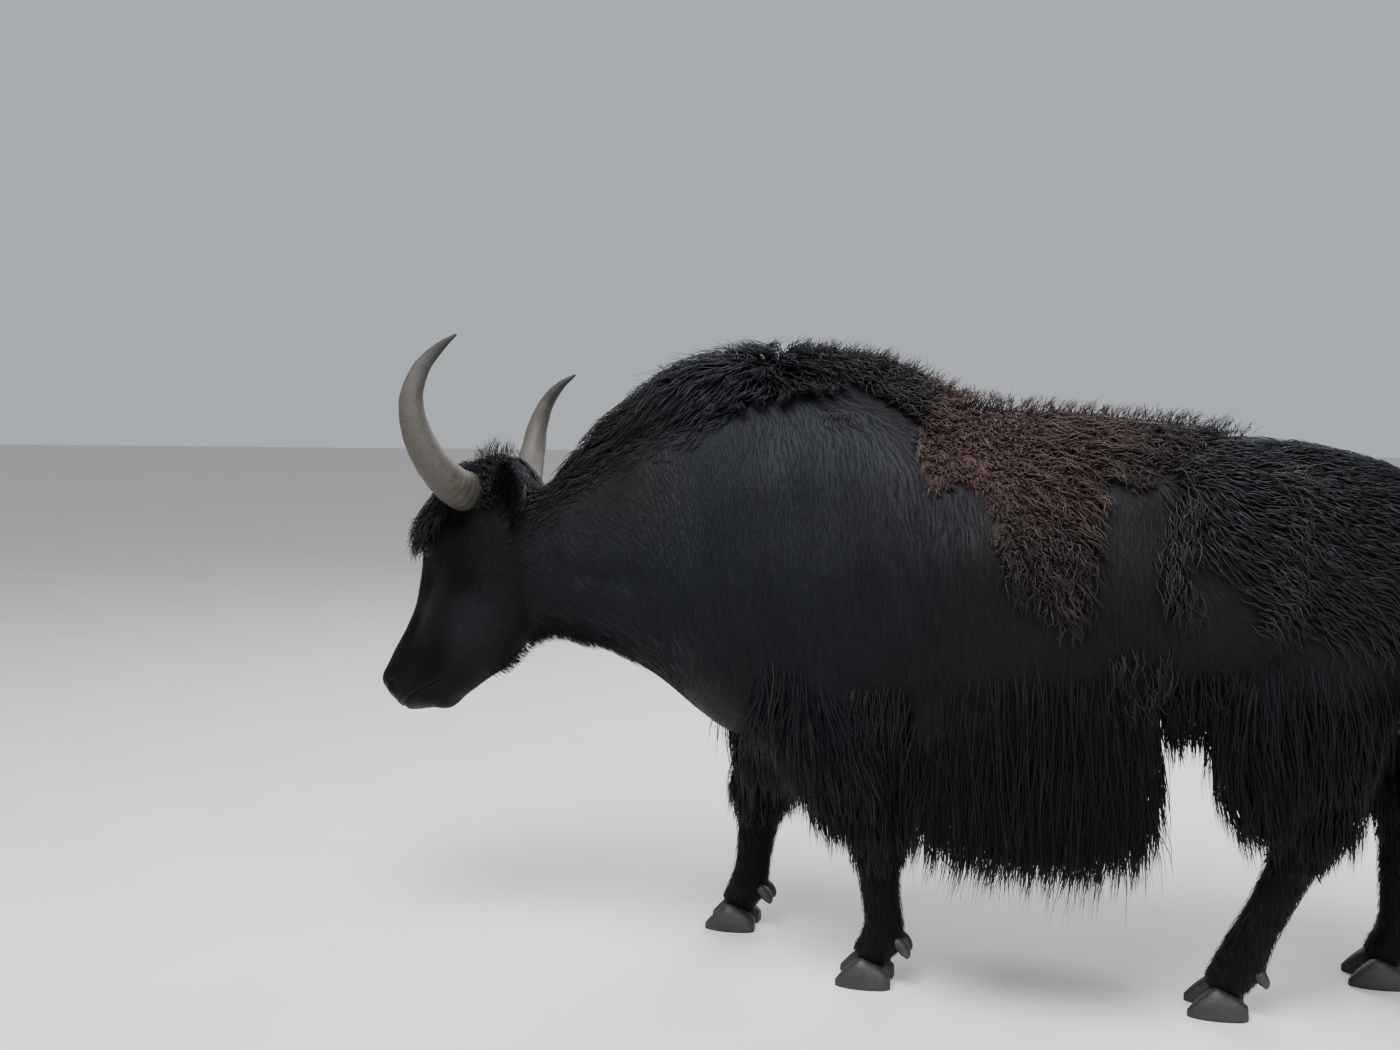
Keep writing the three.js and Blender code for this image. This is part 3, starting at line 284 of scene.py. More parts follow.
# %% Legs
legs = {
    "front_left": {
        "side": -1,
        "upper": [
            (-215, -150, 900, 92, 120), (-170, -178, 800, 96, 128), (-118, -186, 690, 88, 112),
            (-75, -172, 575, 66, 84), (-45, -158, 460, 56, 66), (-28, -150, 375, 50, 58, 56),
            (-26, -148, 330, 44, 50),
        ],
        "lower": [
            (-30, -149, 395, 40, 44), (-32, -148, 350, 54, 60, 62), (-33, -146, 305, 54, 58, 62),
            (-31, -144, 255, 46, 52), (-26, -142, 190, 43, 48, 47), (-22, -140, 140, 46, 52, 48),
            (-26, -140, 105, 52, 56, 50), (-44, -140, 74, 48, 48, 46), (-54, -140, 50, 46, 46, 48),
        ],
        "sleeve": [
            (-170, -166, 780, 90, 140, 130), (-140, -186, 690, 102, 160, 150),
            (-120, -188, 590, 98, 152, 160), (-95, -176, 500, 82, 125, 140),
            (-55, -162, 420, 64, 90, 100), (-40, -152, 365, 48, 62, 66),
        ],
        "foot": (-62, -140),
    },
    "front_right": {
        "side": 1,
        "upper": [
            (-240, 150, 900, 92, 120), (-225, 178, 800, 96, 124), (-225, 184, 690, 86, 108),
            (-268, 168, 575, 66, 80), (-318, 152, 460, 56, 64), (-352, 142, 375, 50, 58, 56),
            (-360, 140, 330, 44, 50),
        ],
        "lower": [
            (-350, 143, 392, 40, 44), (-356, 140, 350, 54, 60, 62), (-362, 138, 305, 54, 58, 60),
            (-368, 136, 255, 46, 52), (-376, 134, 190, 43, 48, 47), (-383, 132, 140, 46, 52, 48),
            (-393, 132, 105, 52, 56, 50), (-411, 132, 74, 48, 48, 46), (-421, 132, 50, 46, 46, 48),
        ],
        "sleeve": [
            (-235, 166, 780, 90, 150, 140), (-270, 186, 690, 102, 150, 165),
            (-300, 184, 590, 96, 130, 165), (-330, 168, 500, 80, 105, 130), (-350, 152, 420, 62, 80, 92),
            (-358, 146, 365, 48, 62, 66),
        ],
        "foot": (-429, 132),
    },
    "hind_left": {
        "side": -1,
        "upper": [
            (980, -100, 1050, 90, 110), (945, -130, 960, 104, 150), (900, -166, 840, 112, 165, 172),
            (860, -178, 715, 98, 142, 150), (855, -172, 600, 76, 104, 112), (875, -160, 510, 60, 76, 82),
            (884, -152, 445, 50, 62),
        ],
        "lower": [
            (880, -154, 505, 34, 44, 40), (884, -152, 455, 44, 66, 54), (872, -150, 405, 44, 62, 52),
            (842, -143, 345, 43, 54, 52), (804, -137, 255, 42, 50, 48), (772, -131, 180, 43, 50, 48),
            (750, -127, 130, 48, 56, 50), (736, -125, 98, 51, 55, 51), (718, -124, 70, 48, 48),
            (708, -124, 50, 46, 46, 48),
        ],
        "sleeve": [
            (880, -150, 860, 100, 160), (840, -176, 760, 114, 190, 185), (815, -188, 650, 110, 200, 180),
            (810, -182, 550, 98, 185, 160), (832, -168, 470, 76, 130), (848, -158, 400, 50, 72),
        ],
        "foot": (698, -124),
    },
    "hind_right": {
        "side": 1,
        "upper": [
            (985, 100, 1050, 90, 110), (962, 130, 960, 104, 148, 150), (938, 166, 840, 112, 155, 168),
            (930, 178, 715, 98, 138, 146), (985, 170, 600, 76, 104, 108), (1052, 156, 510, 60, 76, 80),
            (1092, 146, 445, 50, 62),
        ],
        "lower": [
            (1060, 152, 500, 34, 44, 40), (1094, 146, 455, 44, 64, 52), (1106, 144, 405, 44, 60, 50),
            (1110, 141, 345, 43, 54, 50), (1113, 138, 255, 42, 50, 48), (1117, 136, 180, 43, 50, 47),
            (1116, 134, 130, 48, 56, 49), (1106, 134, 98, 51, 55, 50), (1088, 134, 70, 48, 48),
            (1078, 134, 50, 46, 46, 48),
        ],
        "sleeve": [
            (930, 150, 860, 100, 160), (905, 176, 760, 114, 190, 185), (915, 186, 650, 108, 190, 185),
            (960, 178, 550, 94, 165), (1020, 164, 470, 74, 115, 125), (1060, 152, 405, 50, 70, 72),
        ],
        "foot": (1068, 134),
    },
}
sleeve_coat = 40
for name, leg in legs.items():
    for part, grow in (("upper", -6), ("lower", -4), ("sleeve", -sleeve_coat)):
        leg[part] = Form(leg[part])
        flesh.append(roll(f"{name}_{part}", leg[part], 50, 32, grow))

# %% [markdown]
# The skirts' cores are flat pads under the long hair. The tail's root goes on from the rump, its
# switch hangs nearly to the hocks, and one more form fills the throat.

# %% Skirts and tail
skirt_waist = 620
skirt_y = 262


skirt_rows = [
    (40, 700, 520, 16), (80, 750, 470, 30), (240, 775, 440, 36), (400, 785, 445, 36), (520, 790, 480, 30),
    (560, 760, 540, 16),
]


def skirt_ring(x, top, bottom, half, side):
    return ring(x, skirt_y * side, skirt_waist, half, top - skirt_waist, skirt_waist - bottom, 0.8, 0.8)


skirt_coat = 10
for side in (-1, 1):
    skirt = Form([(*row, side) for row in skirt_rows], skirt_ring, facing=(1, 0, 0), along_x=True)
    flesh.append(roll("skirt", skirt, 50, 32, -skirt_coat))

tail_root = Form(
    [
        (1110, 0, 1085, 44, 40), (1175, 0, 1085, 46, 42), (1232, 0, 1040, 44, 42),
        (1262, 0, 960, 42, 42, 40), (1270, 0, 860, 42, 42, 38),
    ]
)
tail_switch = Form(
    [
        (1270, 0, 900, 40, 38, 36), (1274, 0, 820, 52, 46, 42), (1276, 0, 680, 68, 54, 50),
        (1272, 0, 540, 74, 54, 52), (1266, 0, 430, 56, 44, 42), (1264, 0, 380, 40, 34, 32),
    ]
)
throat = Form(
    [
        (-1005, 30, 742, 30, 40, 44), (-960, 28, 764, 46, 60, 62), (-900, 25, 792, 56, 60, 62),
        (-830, 19, 794, 60, 60, 62), (-750, 12, 780, 56, 60, 58),
    ]
)
flesh.append(roll("throat", throat, 30, 24))
flesh.append(roll("tail_root", tail_root, 40, 24, -12))
flesh.append(roll("tail_switch", tail_switch, 50, 24, -26))
print("forms of flesh", len(flesh))

# %% [markdown]
# ## The head
#
# The head is measured from the poll, the bump between the horns: down the face, out of the
# forehead, and to the left. It is rolled finely enough for lips and lids, and then worked like
# clay: each swelling or hollow is a soft push along the skin's normal round one named place.

# %% Head
poll = np.array([-1002.0, 30.0, 1130.0])
turn, slope, tilt = math.radians(-11.5), math.radians(66), math.radians(-9)
turn_it = np.array([[math.cos(turn), -math.sin(turn), 0], [math.sin(turn), math.cos(turn), 0], [0, 0, 1]])
tilt_it = np.array([[1, 0, 0], [0, math.cos(tilt), -math.sin(tilt)], [0, math.sin(tilt), math.cos(tilt)]])
head_turn = turn_it @ tilt_it
down_face = head_turn @ np.array([-math.cos(slope), 0, -math.sin(slope)])
out_of_face = head_turn @ np.array([-math.sin(slope), 0, math.cos(slope)])
to_left = head_turn @ np.array([0, -1, 0])
head_up = head_turn @ np.array([0, 0, 1])
head_forward = head_turn @ np.array([-1, 0, 0])


def on_head(along, out, left):
    return poll + np.outer(along, down_face) + np.outer(out, out_of_face) + np.outer(left, to_left)


def head_places(points):
    """How far points lie down the face, out of it and to the left, in millimetres."""
    away = points - poll
    return away @ down_face, away @ out_of_face, away @ to_left


def head_ring(along, front, back, half, widest, upper, lower):
    x, y, z = on_head([along], [widest], [0])[0]
    return ring(x, y, z, half, front - widest, widest - back, upper, lower)


skull_rows = [
    (-52, -14, -36, 18, -24, 1, 1), (-44, 6, -56, 54, -24, 0.9, 1), (-20, 38, -100, 90, -24, 0.8, 0.9),
    (25, 66, -136, 108, -24, 0.75, 0.85), (95, 86, -176, 114, -24, 0.75, 0.8),
    (165, 92, -214, 118, -24, 0.75, 0.85), (225, 84, -242, 117, -26, 0.75, 0.9),
    (300, 66, -258, 102, -42, 0.8, 0.85), (380, 52, -250, 86, -56, 0.85, 0.8),
    (445, 52, -214, 76, -60, 0.85, 0.8), (512, 54, -178, 74, -54, 0.75, 0.8),
    (563, 50, -142, 74, -44, 0.7, 0.8), (596, 41, -104, 66, -36, 0.7, 0.85),
    (614, 28, -72, 46, -28, 0.8, 0.9), (623, 8, -44, 24, -20, 0.9, 1), (626, -6, -30, 10, -18, 1, 1),
]
skull = Form(skull_rows, head_ring, across=to_left, facing=down_face)
face_coat = 3
head = roll("head", skull, 216, 180, -face_coat, even=6)
print("head faces", len(head.data.polygons))

# %% [markdown]
# ### The face
#
# Each line of the table pushes the skin out or in round one place, as a thumb does in clay. The
# nostril is a row of small hollows, and the mouth is a groove with a raised edge on each side.

# %% Swellings and hollows of the face
# Each line: down the face, out of it, to the side; the reach in those directions; the height.
face_forms = [
    (184, 58, 88, 42, 26, 34, 14),  # brow ridge
    (330, -150, 92, 95, 70, 60, 13),  # cheek
    (340, -40, 92, 84, 15, 40, 11),  # bony crest down the cheek
    (296, 2, 92, 42, 22, 40, -11),  # hollow below the eye
    (128, -12, 112, 34, 26, 40, -8),  # temple
    (412, 4, 64, 66, 20, 30, -10),  # side of the nose
    (578, 30, 48, 24, 20, 24, 5),  # wing of the nostril
    (592, -8, 56, 12, 14, 16, 3),  # lower rim of the nostril
    (556, -56, 62, 40, 26, 40, 8),  # upper lip
    (606, -52, 26, 20, 24, 34, 7),  # front of the upper lip
    (560, -92, 40, 36, 12, 46, 4),  # lower lip
    (548, -130, 14, 34, 22, 36, 10),  # chin
    (400, -216, 48, 100, 22, 34, 6),  # edge of the jaw
    (440, -96, 72, 60, 26, 40, -7),  # hollow before the cheek
    (250, -110, 100, 40, 60, 40, -6),  # behind the eye
    (420, 52, 0, 60, 20, 22, 2),  # ridge of the nose
    (-10, 30, 0, 40, 40, 46, 8),  # poll
]
nostrils = [
    (mix(600, 574, s), mix(12, -10, s) + 7 * math.sin(math.pi * s), mix(38, 62, s), 8, 7, 9, -11)
    for s in np.linspace(0, 1, 6)
]
mouth_corner = np.array([492.0, -140.0])
mouth_front = np.array([630.0, -42.0])


def swell(along, out, left, forms):
    """The height that the forms add up to, the same on both sides."""
    height = np.zeros(len(along))
    for a, o, side, a_reach, o_reach, s_reach, rise in forms:
        for way in (1, -1):
            away = ((along - a) / a_reach) ** 2 + ((out - o) / o_reach) ** 2
            away = away + ((left - side * way) / s_reach) ** 2
            height += rise * np.exp(-away) * (0.5 if side == 0 else 1)
    return height


def mouth_line(along, out):
    """The distance to the line of the mouth, and how far along it a point is."""
    way = mouth_front - mouth_corner
    length = np.linalg.norm(way)
    way = way / length
    ahead = (along - mouth_corner[0]) * way[0] + (out - mouth_corner[1]) * way[1]
    off = (along - mouth_corner[0]) * way[1] - (out - mouth_corner[1]) * way[0]
    off = off + 5 * np.sin(ahead / length * math.pi)
    return off, ahead / length


points = to_stations(points_of(head))
normals = normals_of(head)
along, out, left = head_places(points)
height = swell(along, out, left, face_forms) + swell(along, out, left, nostrils)
off, ahead = mouth_line(along, out)
in_mouth = fade(ahead, -0.06, 0.06)
height -= 5.5 * np.exp(-((off / 2.6) ** 2)) * in_mouth
height += 1.6 * np.exp(-(((np.abs(off) - 9) / 6) ** 2)) * in_mouth
points = points + normals * height[:, None]
set_points(head, to_metres(points))

# %% [markdown]
# ### Lids
#
# An eye sits deep, and only its front shows between the lids. The skin is drawn over a ball a
# little larger than the eye, and inside the opening it dips behind the eyeball. A thin rim, made
# as a tube along the opening, gives the lids their moist thick edge.

# %% Eyelids
eye_radius = 19
eye_along, eye_out, eye_left = 220, 34, 97
eye_length, eye_upper, eye_lower = 18.2, 11.8, 9.0
rim_segments, rim_turn = 96, 0.02


def lid_ratio(du, dv):
    """1 on the edge of the opening between the lids, less inside it."""
    tall = np.where(dv > 0, eye_upper, eye_lower)
    return np.sqrt((du / eye_length) ** 2 + (dv / tall) ** 2)


along, out, left = head_places(to_stations(points_of(head)))
du, dv, away, side = along - eye_along, out - eye_out, np.abs(left), np.sign(left)
from_eye = np.hypot(du, dv)
ball = eye_left + np.sqrt(np.maximum((eye_radius + 3.6) ** 2 - from_eye**2, 0))
near = (from_eye < 60) & (away > 60)
ratio = lid_ratio(du, dv)
lid = np.where(from_eye < eye_radius + 3.6, np.maximum(away, ball), away)
crease = -3.4 * np.exp(-(((ratio - 1.95) / 0.24) ** 2)) + 1.0 * np.exp(-(((ratio - 2.45) / 0.3) ** 2))
crease -= 0.5 * np.exp(-(((ratio - 2.95) / 0.24) ** 2))
lid = lid + crease * np.where(dv > 0, 1, 0.6)
behind = eye_left + np.sqrt(np.maximum(eye_radius**2 - from_eye**2, 0)) - 5
lid = mix(behind, lid, fade(ratio, 0.86, 1.02))
away = np.where(near, lid, away)
set_points(head, to_metres(on_head(along, out, away * side)))

rims = []
for side in (1, -1):
    angle = np.linspace(0, full, rim_segments, endpoint=False)
    du = eye_length * np.cos(angle)
    dv = np.where(np.sin(angle) > 0, eye_upper, eye_lower) * np.abs(np.sin(angle)) ** 1.15
    dv = dv * np.sign(np.sin(angle))
    from_eye = np.hypot(du, dv)
    outwards = eye_left + np.sqrt((eye_radius + 1.2) ** 2 - from_eye**2)
    line = to_metres(on_head(eye_along + du, eye_out + dv, outwards * side))
    deselect()
    bpy.ops.mesh.primitive_torus_add(
        major_segments=rim_segments, minor_segments=12, major_radius=rim_turn, minor_radius=0.0022,
    )
    rim = bpy.context.object
    rim.name = "lid_rim"
    flat = points_of(rim)
    turned = np.arctan2(flat[:, 1], flat[:, 0]) % full
    index = np.round(turned / full * rim_segments).astype(int) % rim_segments
    around = flat - np.stack([rim_turn * np.cos(turned), rim_turn * np.sin(turned), 0 * turned], 1)
    sideways = around[:, 0] * np.cos(turned) + around[:, 1] * np.sin(turned)
    centre = line.mean(axis=0)
    outward = unit(line - centre)
    placed = line[index] + outward[index] * sideways[:, None] + to_left * side * around[:, 2:3]
    set_points(rim, placed)
    rims.append(rim)

# %% [markdown]
# ### Ears
#
# A yak's ear is a cupped leaf that opens forward and out. It is one closed shell: the grid goes
# round its outside, over the rim, and back through the cup.

# %% Ears
class Ear:
    """A cupped leaf as a form: its place runs from root to tip, its angle round the wall."""

    first = -0.12
    last = 1.0
    length = 172
    wall = 6.0
    spans = [-0.12, 0.08, 0.3, 0.52, 0.74, 0.9, 1]
    wide = [24, 30, 40, 43, 40, 28, 8]
    deep = [26, 30, 30, 26, 20, 13, 6]

    def __init__(self, side):
        self.root = on_head([92], [-113], [88 * side])[0]
        self.lie = unit(to_left * 0.41 * side + head_up * 0.85 - head_forward * 0.35)
        back = -head_forward * 0.3 - to_left * 0.9 * side + head_up * 0.3
        self.back = unit(back - self.lie * (back @ self.lie))
        self.across = np.cross(self.back, self.lie) * side

    def points(self, place, angle, grow=0.0):
        wide = smooth_line(self.spans, self.wide, place)
        deep = smooth_line(self.spans, self.deep, place)
        around = angle / full
        outside = around < 0.5
        t = np.where(outside, around * 2, 2 - around * 2)
        reach = np.radians(84)
        bend = mix(-reach, reach, t)
        thin = np.minimum(np.sin(t * math.pi), 0.35) / 0.35
        wall = np.where(outside, 0, self.wall * mix(0.35, 1, thin))
        wall = np.minimum(wall, deep * 0.7)
        across = (wide - wall * 0.5) * np.sin(bend)
        depth = (deep - wall) * np.cos(bend) - np.where(outside, 0, 1.5 * (1 - thin))
        centre = self.root + np.outer(place * self.length, self.lie)
        return centre + np.outer(across, self.across) + np.outer(depth, self.back)


ears = [roll("ear", Ear(side), 60, 64) for side in (1, -1)]


def ear_places(points):
    """How far points lie up the nearer ear, across it, and towards its back."""
    on_left = head_places(points)[2] > 0
    both = []
    for side in (1, -1):
        ear = Ear(side)
        away = points - ear.root
        both.append([away @ ear.lie, away @ ear.across, away @ ear.back])
    return [np.where(on_left, left, right) for left, right in zip(*both)]


def on_ear(points):
    """1 on the ears, 0 elsewhere."""
    up_ear, aside, inwards = ear_places(points)
    near = (np.abs(aside) < 52) * (np.abs(inwards) < 44) * (points[:, 0] < -840)
    return near * fade(up_ear, 14, 34) * (up_ear < 190)

# %% [markdown]
# ## One skin
#
# The forms of the body overlap like wads of clay. A voxel remesh turns them into one closed
# skin without seams. Voxels as fine as the lids need would give millions of faces, so the body
# is remeshed coarsely, where long hair covers it, and the fine head is then fused to it.

# %% Fuse the body
take(*flesh)
bpy.ops.object.join()
skin = bpy.context.object
skin.name = "skin"
apply_modifier(skin, "REMESH", mode="VOXEL", voxel_size=0.0122, adaptivity=0.0)
apply_modifier(skin, "SMOOTH", factor=0.5, iterations=6)
print("body faces", len(skin.data.polygons))

# %% [markdown]
# ### Where the long hair grows
#
# The wool mat and the mane have ragged lower edges, written as heights along the body. These
# functions tell how much of each a place has. The skin, the colours and the tufts all ask them.

# %% Where the wool and the mane grow
wool_hem_at = [30, 60, 93, 134, 177, 220, 256, 309, 402, 418, 513, 573, 640, 720]
wool_hem = [1262, 1165, 1109, 1154, 1136, 1045, 940, 905, 925, 1090, 1130, 1195, 1225, 1262]
crest_hem_at = [-960, -772, -642, -558, -419, -295, -174, -114, -25, 35, 80]
crest_hem = [1096, 1174, 1275, 1318, 1337, 1352, 1356, 1352, 1300, 1262, 1250]


def in_wool(points):
    """1 in the mat of brown wool on the back, 0 outside it."""
    x, z = points[:, 0], points[:, 2] + 16 * ripple(points, 70, 21)
    far_side = points[:, 1] > 0
    hem = smooth_line(wool_hem_at, wool_hem, np.where(far_side, x + 40 * np.sin(x / 55), x))
    return fade(z, hem - 6, hem + 12) * fade(x, 34, 52) * (1 - fade(x, 640, 730))


def in_crest(points):
    """1 where the long hair of the neck and hump grows."""
    hem = smooth_line(crest_hem_at, crest_hem, points[:, 0]) + 8 * ripple(points, 60, 22)
    near = (np.abs(points[:, 1]) < 175) * (1 - fade(points[:, 0], 50, 100)) * fade(points[:, 0], -940, -880)
    return fade(points[:, 2], hem - 10, hem + 14) * near


def in_mane(points):
    """1 where the long hair grows, and less and less down the side of the neck."""
    x = points[:, 0]
    hem = smooth_line(crest_hem_at, crest_hem, x) + 12 * ripple(points, 60, 22)
    depth = mix(150, 34, fade(x, -480, -280))
    near = (np.abs(points[:, 1]) < 185) * (1 - fade(x, 50, 100)) * fade(x, -950, -870)
    return fade(points[:, 2], hem - depth, hem + 14) * near


# %% [markdown]
# ### Muscles and bones
#
# Shoulder blade, ribs, hip and folds show through the short coat. They are pushed out of the
# skin in the same way as on the face. The wool mat is thick, so the skin rises under it.

# %% Muscles, bones and folds of the body
# Each line: station x, height, distance from the middle; the reach in those directions; rise.
body_forms = [
    (-300, 1130, 250, 60, 190, 90, 8),  # shoulder blade
    (-215, 1120, 262, 26, 180, 90, -7),  # hollow behind it
    (-420, 800, 205, 70, 80, 70, 12),  # point of the shoulder
    (-330, 800, 250, 46, 46, 70, 9),  # roll of skin above the elbow
    (-60, 800, 290, 60, 120, 80, -9),  # behind the elbow
    (-700, 905, 120, 170, 26, 60, -6),  # groove along the neck
    (-640, 800, 130, 150, 60, 60, 5),  # throat muscle
    (-140, 1292, 170, 46, 9, 60, 10),  # small fold under the crest
    (-112, 1272, 170, 50, 8, 60, -6),
    (640, 1150, 250, 60, 40, 80, 12),  # hip bone
    (560, 1060, 280, 50, 90, 80, -12),  # hollow of the flank
    (1080, 1080, 150, 50, 50, 60, 9),  # seat bone
    (760, 700, 250, 60, 80, 80, 10),  # stifle
    (300, 1000, 320, 200, 60, 80, 5),  # ribs
]
points = to_stations(points_of(skin))
normals = normals_of(skin)
height = swell(points[:, 0], points[:, 2], points[:, 1], body_forms)
rib = np.sin((points[:, 0] + 0.35 * points[:, 2]) / 62 * full)
on_ribs = between(points[:, 0], -60, 60, 420, 520)
on_ribs = on_ribs * fade(points[:, 2], 760, 860) * (1 - fade(points[:, 2], 1060, 1160))
height += rib * on_ribs * 1.2 + ripple(points, 150, 3) * 2.2
height += in_wool(points) * (8 + 2.5 * ripple(points, 45, 4))
set_points(skin, to_metres(points + normals * height[:, None]))

# %% [markdown]
# A Boolean union joins the fine head and ears to the coarser body. By hand this is the Boolean
# modifier with the Manifold solver, which is fast and leaves the faces of both as they are.

# %% Fuse the head and the ears to it
def fuse(piece, other):
    """Joins two closed pieces into one closed piece."""
    apply_modifier(piece, "BOOLEAN", operation="UNION", object=other, solver="MANIFOLD")
    bpy.data.objects.remove(other)


fuse(skin, head)
for ear in ears:
    fuse(skin, ear)
print("skin faces after fusing", len(skin.data.polygons))

# %% [markdown]
# Where the head meets the neck the fusing leaves a crease. The points near that crease are
# selected by their place and smoothed, as with a smooth brush.

# %% Smooth the joint behind the head
points = to_stations(points_of(skin))
along, out, left = head_places(points)
behind_face = (out < -20 - 0.35 * along) & (along < 420) & (points[:, 0] > -1010)
joint = behind_face & (points[:, 0] < -800) & (points[:, 2] < 1130)
joint &= on_ear(points) < 0.1
take(skin)
skin.data.polygons.foreach_set("select", np.zeros(len(skin.data.polygons), bool))
skin.data.edges.foreach_set("select", np.zeros(len(skin.data.edges), bool))
skin.data.vertices.foreach_set("select", joint)
bpy.ops.object.mode_set(mode="EDIT")
bpy.ops.mesh.select_mode(type="VERT")
bpy.ops.mesh.vertices_smooth(factor=0.5, repeat=50)
bpy.ops.object.mode_set(mode="OBJECT")
take(skin, *rims)
bpy.ops.object.join()
skin = bpy.context.object
bpy.ops.object.shade_smooth()
print("points smoothed", int(joint.sum()))

# %% [markdown]
# ### An unwrap of the skin
#
# The coat's tufts take their place on this unwrap, so that a baked picture of the coat's colours
# gives each tuft its own spot. Smart UV Project cuts the skin into flat patches by its own
# shape, which is enough, because nobody paints on it by hand.

# %% Unwrap the skin
take(skin)
bpy.ops.object.mode_set(mode="EDIT")
bpy.ops.mesh.select_all(action="SELECT")
bpy.ops.uv.smart_project(angle_limit=math.radians(66), island_margin=0.0005)
bpy.ops.object.mode_set(mode="OBJECT")
skin.data.uv_layers[0].name = "OFBake"
print("unwrapped", len(skin.data.uv_layers))

# %% [markdown]
# ## Markings
#
# The bull is black, browner on the neck and the ribs, with a bluish sheen of the sky painted on
# the shoulder. The face is painted in shade, darker in its hollows and behind the eye and lighter
# on its ridges, and the lower body and the legs are painted darker as shade low down. The ears
# and the end of the muzzle are darker. Last winter's wool still hangs on the back as a brown mat,
# ragged at its lower edge. One function gives the colour at any place, and the skin and every
# tuft take theirs from it.

# %% Colours
def linear(hex_colour):
    """Turns an sRGB hex colour into the linear one that Blender works in."""
    parts = [int(hex_colour[i : i + 2], 16) / 255 for i in (1, 3, 5)]
    return np.array([c / 12.92 if c <= 0.04045 else ((c + 0.055) / 1.055) ** 2.4 for c in parts])


black = linear("#131315")
sheen_blue_black = linear("#15171c")
brown_black = linear("#1d1816")
wool_brown = linear("#3c2c27")
mat_brown = linear("#261e1c")
tan = linear("#66503f")
bare_skin = linear("#1a191b")


def in_rump(points):
    """1 where the wavy hair of the croup and rump grows."""
    x, z = points[:, 0], points[:, 2]
    edge = smooth_line([500, 560, 640, 720, 820, 1240], [1240, 1060, 1000, 900, 860, 820], x)
    return fade(x, 520, 600) * fade(z, edge - 20, edge + 30) * (1 - in_wool(points))


def marking(points):
    """The colour of the coat at places, as linear red, green and blue, with painted sheen and shade."""
    x, z = points[:, 0], points[:, 2]
    colour = np.tile(black, (len(points), 1))
    # painted sheen: the bluish reflection of the sky is laid on the shoulder's colour
    blue = between(x, -900, -700, -160, 160) * fade(z, 560, 700)
    colour = mix(colour, sheen_blue_black, (0.6 * blue)[:, None])
    browner = between(x, -960, -820, -640, -430) * fade(z, 960, 1120)
    browner = np.maximum(browner, 0.5 * fade(x, 60, 300) * (1 - fade(x, 620, 700)))
    colour = mix(colour, brown_black, (browner * 0.6)[:, None])
    rear_crest = in_crest(points) * fade(x, -330, -120)
    colour = mix(colour, mat_brown, (rear_crest * 0.8)[:, None])
    wool = in_wool(points)
    low_or_rear = np.maximum(fade(x, 330, 600), 0.95 * (1 - fade(z, 960, 1190)))
    shaded = mix(wool_brown, mat_brown, low_or_rear[:, None])
    shaded = shaded * (1 + 0.22 * ripple(points, 36, 32))[:, None]
    colour = mix(colour, shaded, wool[:, None])
    along, out, left = head_places(points)
    on_face = (1 - fade(x, -980, -860)) * (along > -60)
    relief = swell(along, out, left, face_forms)
    # painted shade: the whole face is darkened as in shade, more in its hollows, and lighter on its ridges
    colour = colour * (1 + on_face * np.clip(0.09 * relief - 0.48, -0.75, 0.6))[:, None]
    # painted shade behind the eye; the end of the muzzle is made darker as well
    shade_behind_eye = np.exp(-(((along - 215) / 120) ** 2) - ((out + 105) / 60) ** 2)
    darker = 0.35 * shade_behind_eye + 0.3 * fade(along, 470, 570)
    colour = colour * (1 - on_face * darker)[:, None]
    colour = colour * (1 - 0.5 * on_ear(points))[:, None]
    # painted shade: the coat grows darker low down on the body and the legs
    colour = colour * mix(0.55, 1, fade(z, 560, 860))[:, None]
    colour = colour * mix(1, 0.78, fade(x, -520, -300) * (1 - wool) * (1 - fade(x, 560, 700)))[:, None]
    return colour * (1 + 0.12 * ripple(points, 150, 31) + 0.06 * ripple(points, 40, 35))[:, None]


def slant_areas(points):
    """How far places lie on the neck and on the rump, where the coat slants back."""
    x, z = points[:, 0], points[:, 2]
    return 1 - fade(x, -640, -380), fade(x, 560, 720) * fade(z, 760, 900)


def set_colour(piece, name, colours):
    """Stores a colour for each point of a piece."""
    layer = piece.data.color_attributes.new(name=name, type="FLOAT_COLOR", domain="POINT")
    values = np.ones((len(colours), 4), np.float32)
    values[:, :3] = colours
    layer.data.foreach_set("color", values.ravel())


def set_number(piece, name, numbers):
    """Stores a number for each point of a piece."""
    layer = piece.data.attributes.new(name=name, type="FLOAT", domain="POINT")
    layer.data.foreach_set("value", np.ascontiguousarray(numbers, np.float32))


points = to_stations(points_of(skin))
along, out, left = head_places(points)
on_face = (points[:, 0] < -880) & (along > -60)
from_nose = ((along - 612) / 40) ** 2 + ((out - 6) / 44) ** 2 + (left / 74) ** 2
muzzle = (1 - fade(from_nose + 0.15 * ripple(points, 14, 33), 0.7, 1.2)) * on_face
from_eye = np.hypot(along - eye_along, out - eye_out)
lids = (1 - fade(from_eye, 22, 27)) * (np.abs(left) > 90) * on_face
mouth_off, mouth_ahead = mouth_line(along, out)
lip_edge = (1 - fade(np.abs(mouth_off), 4, 8)) * (mouth_ahead > 0) * on_face
up_ear, aside, inwards = ear_places(points)
cup = 0.8 * (up_ear > 5) * (up_ear < 160) * (np.abs(aside) < 30) * (inwards < 22) * (inwards > -12)
bare = np.clip(np.maximum.reduce([muzzle, lids, lip_edge]), 0, 1)
nostril_depth = -swell(along, out, left, nostrils)
colours = mix(marking(points), bare_skin * 0.6, bare[:, None])
colours = mix(colours, bare_skin, (muzzle * 0.8)[:, None])
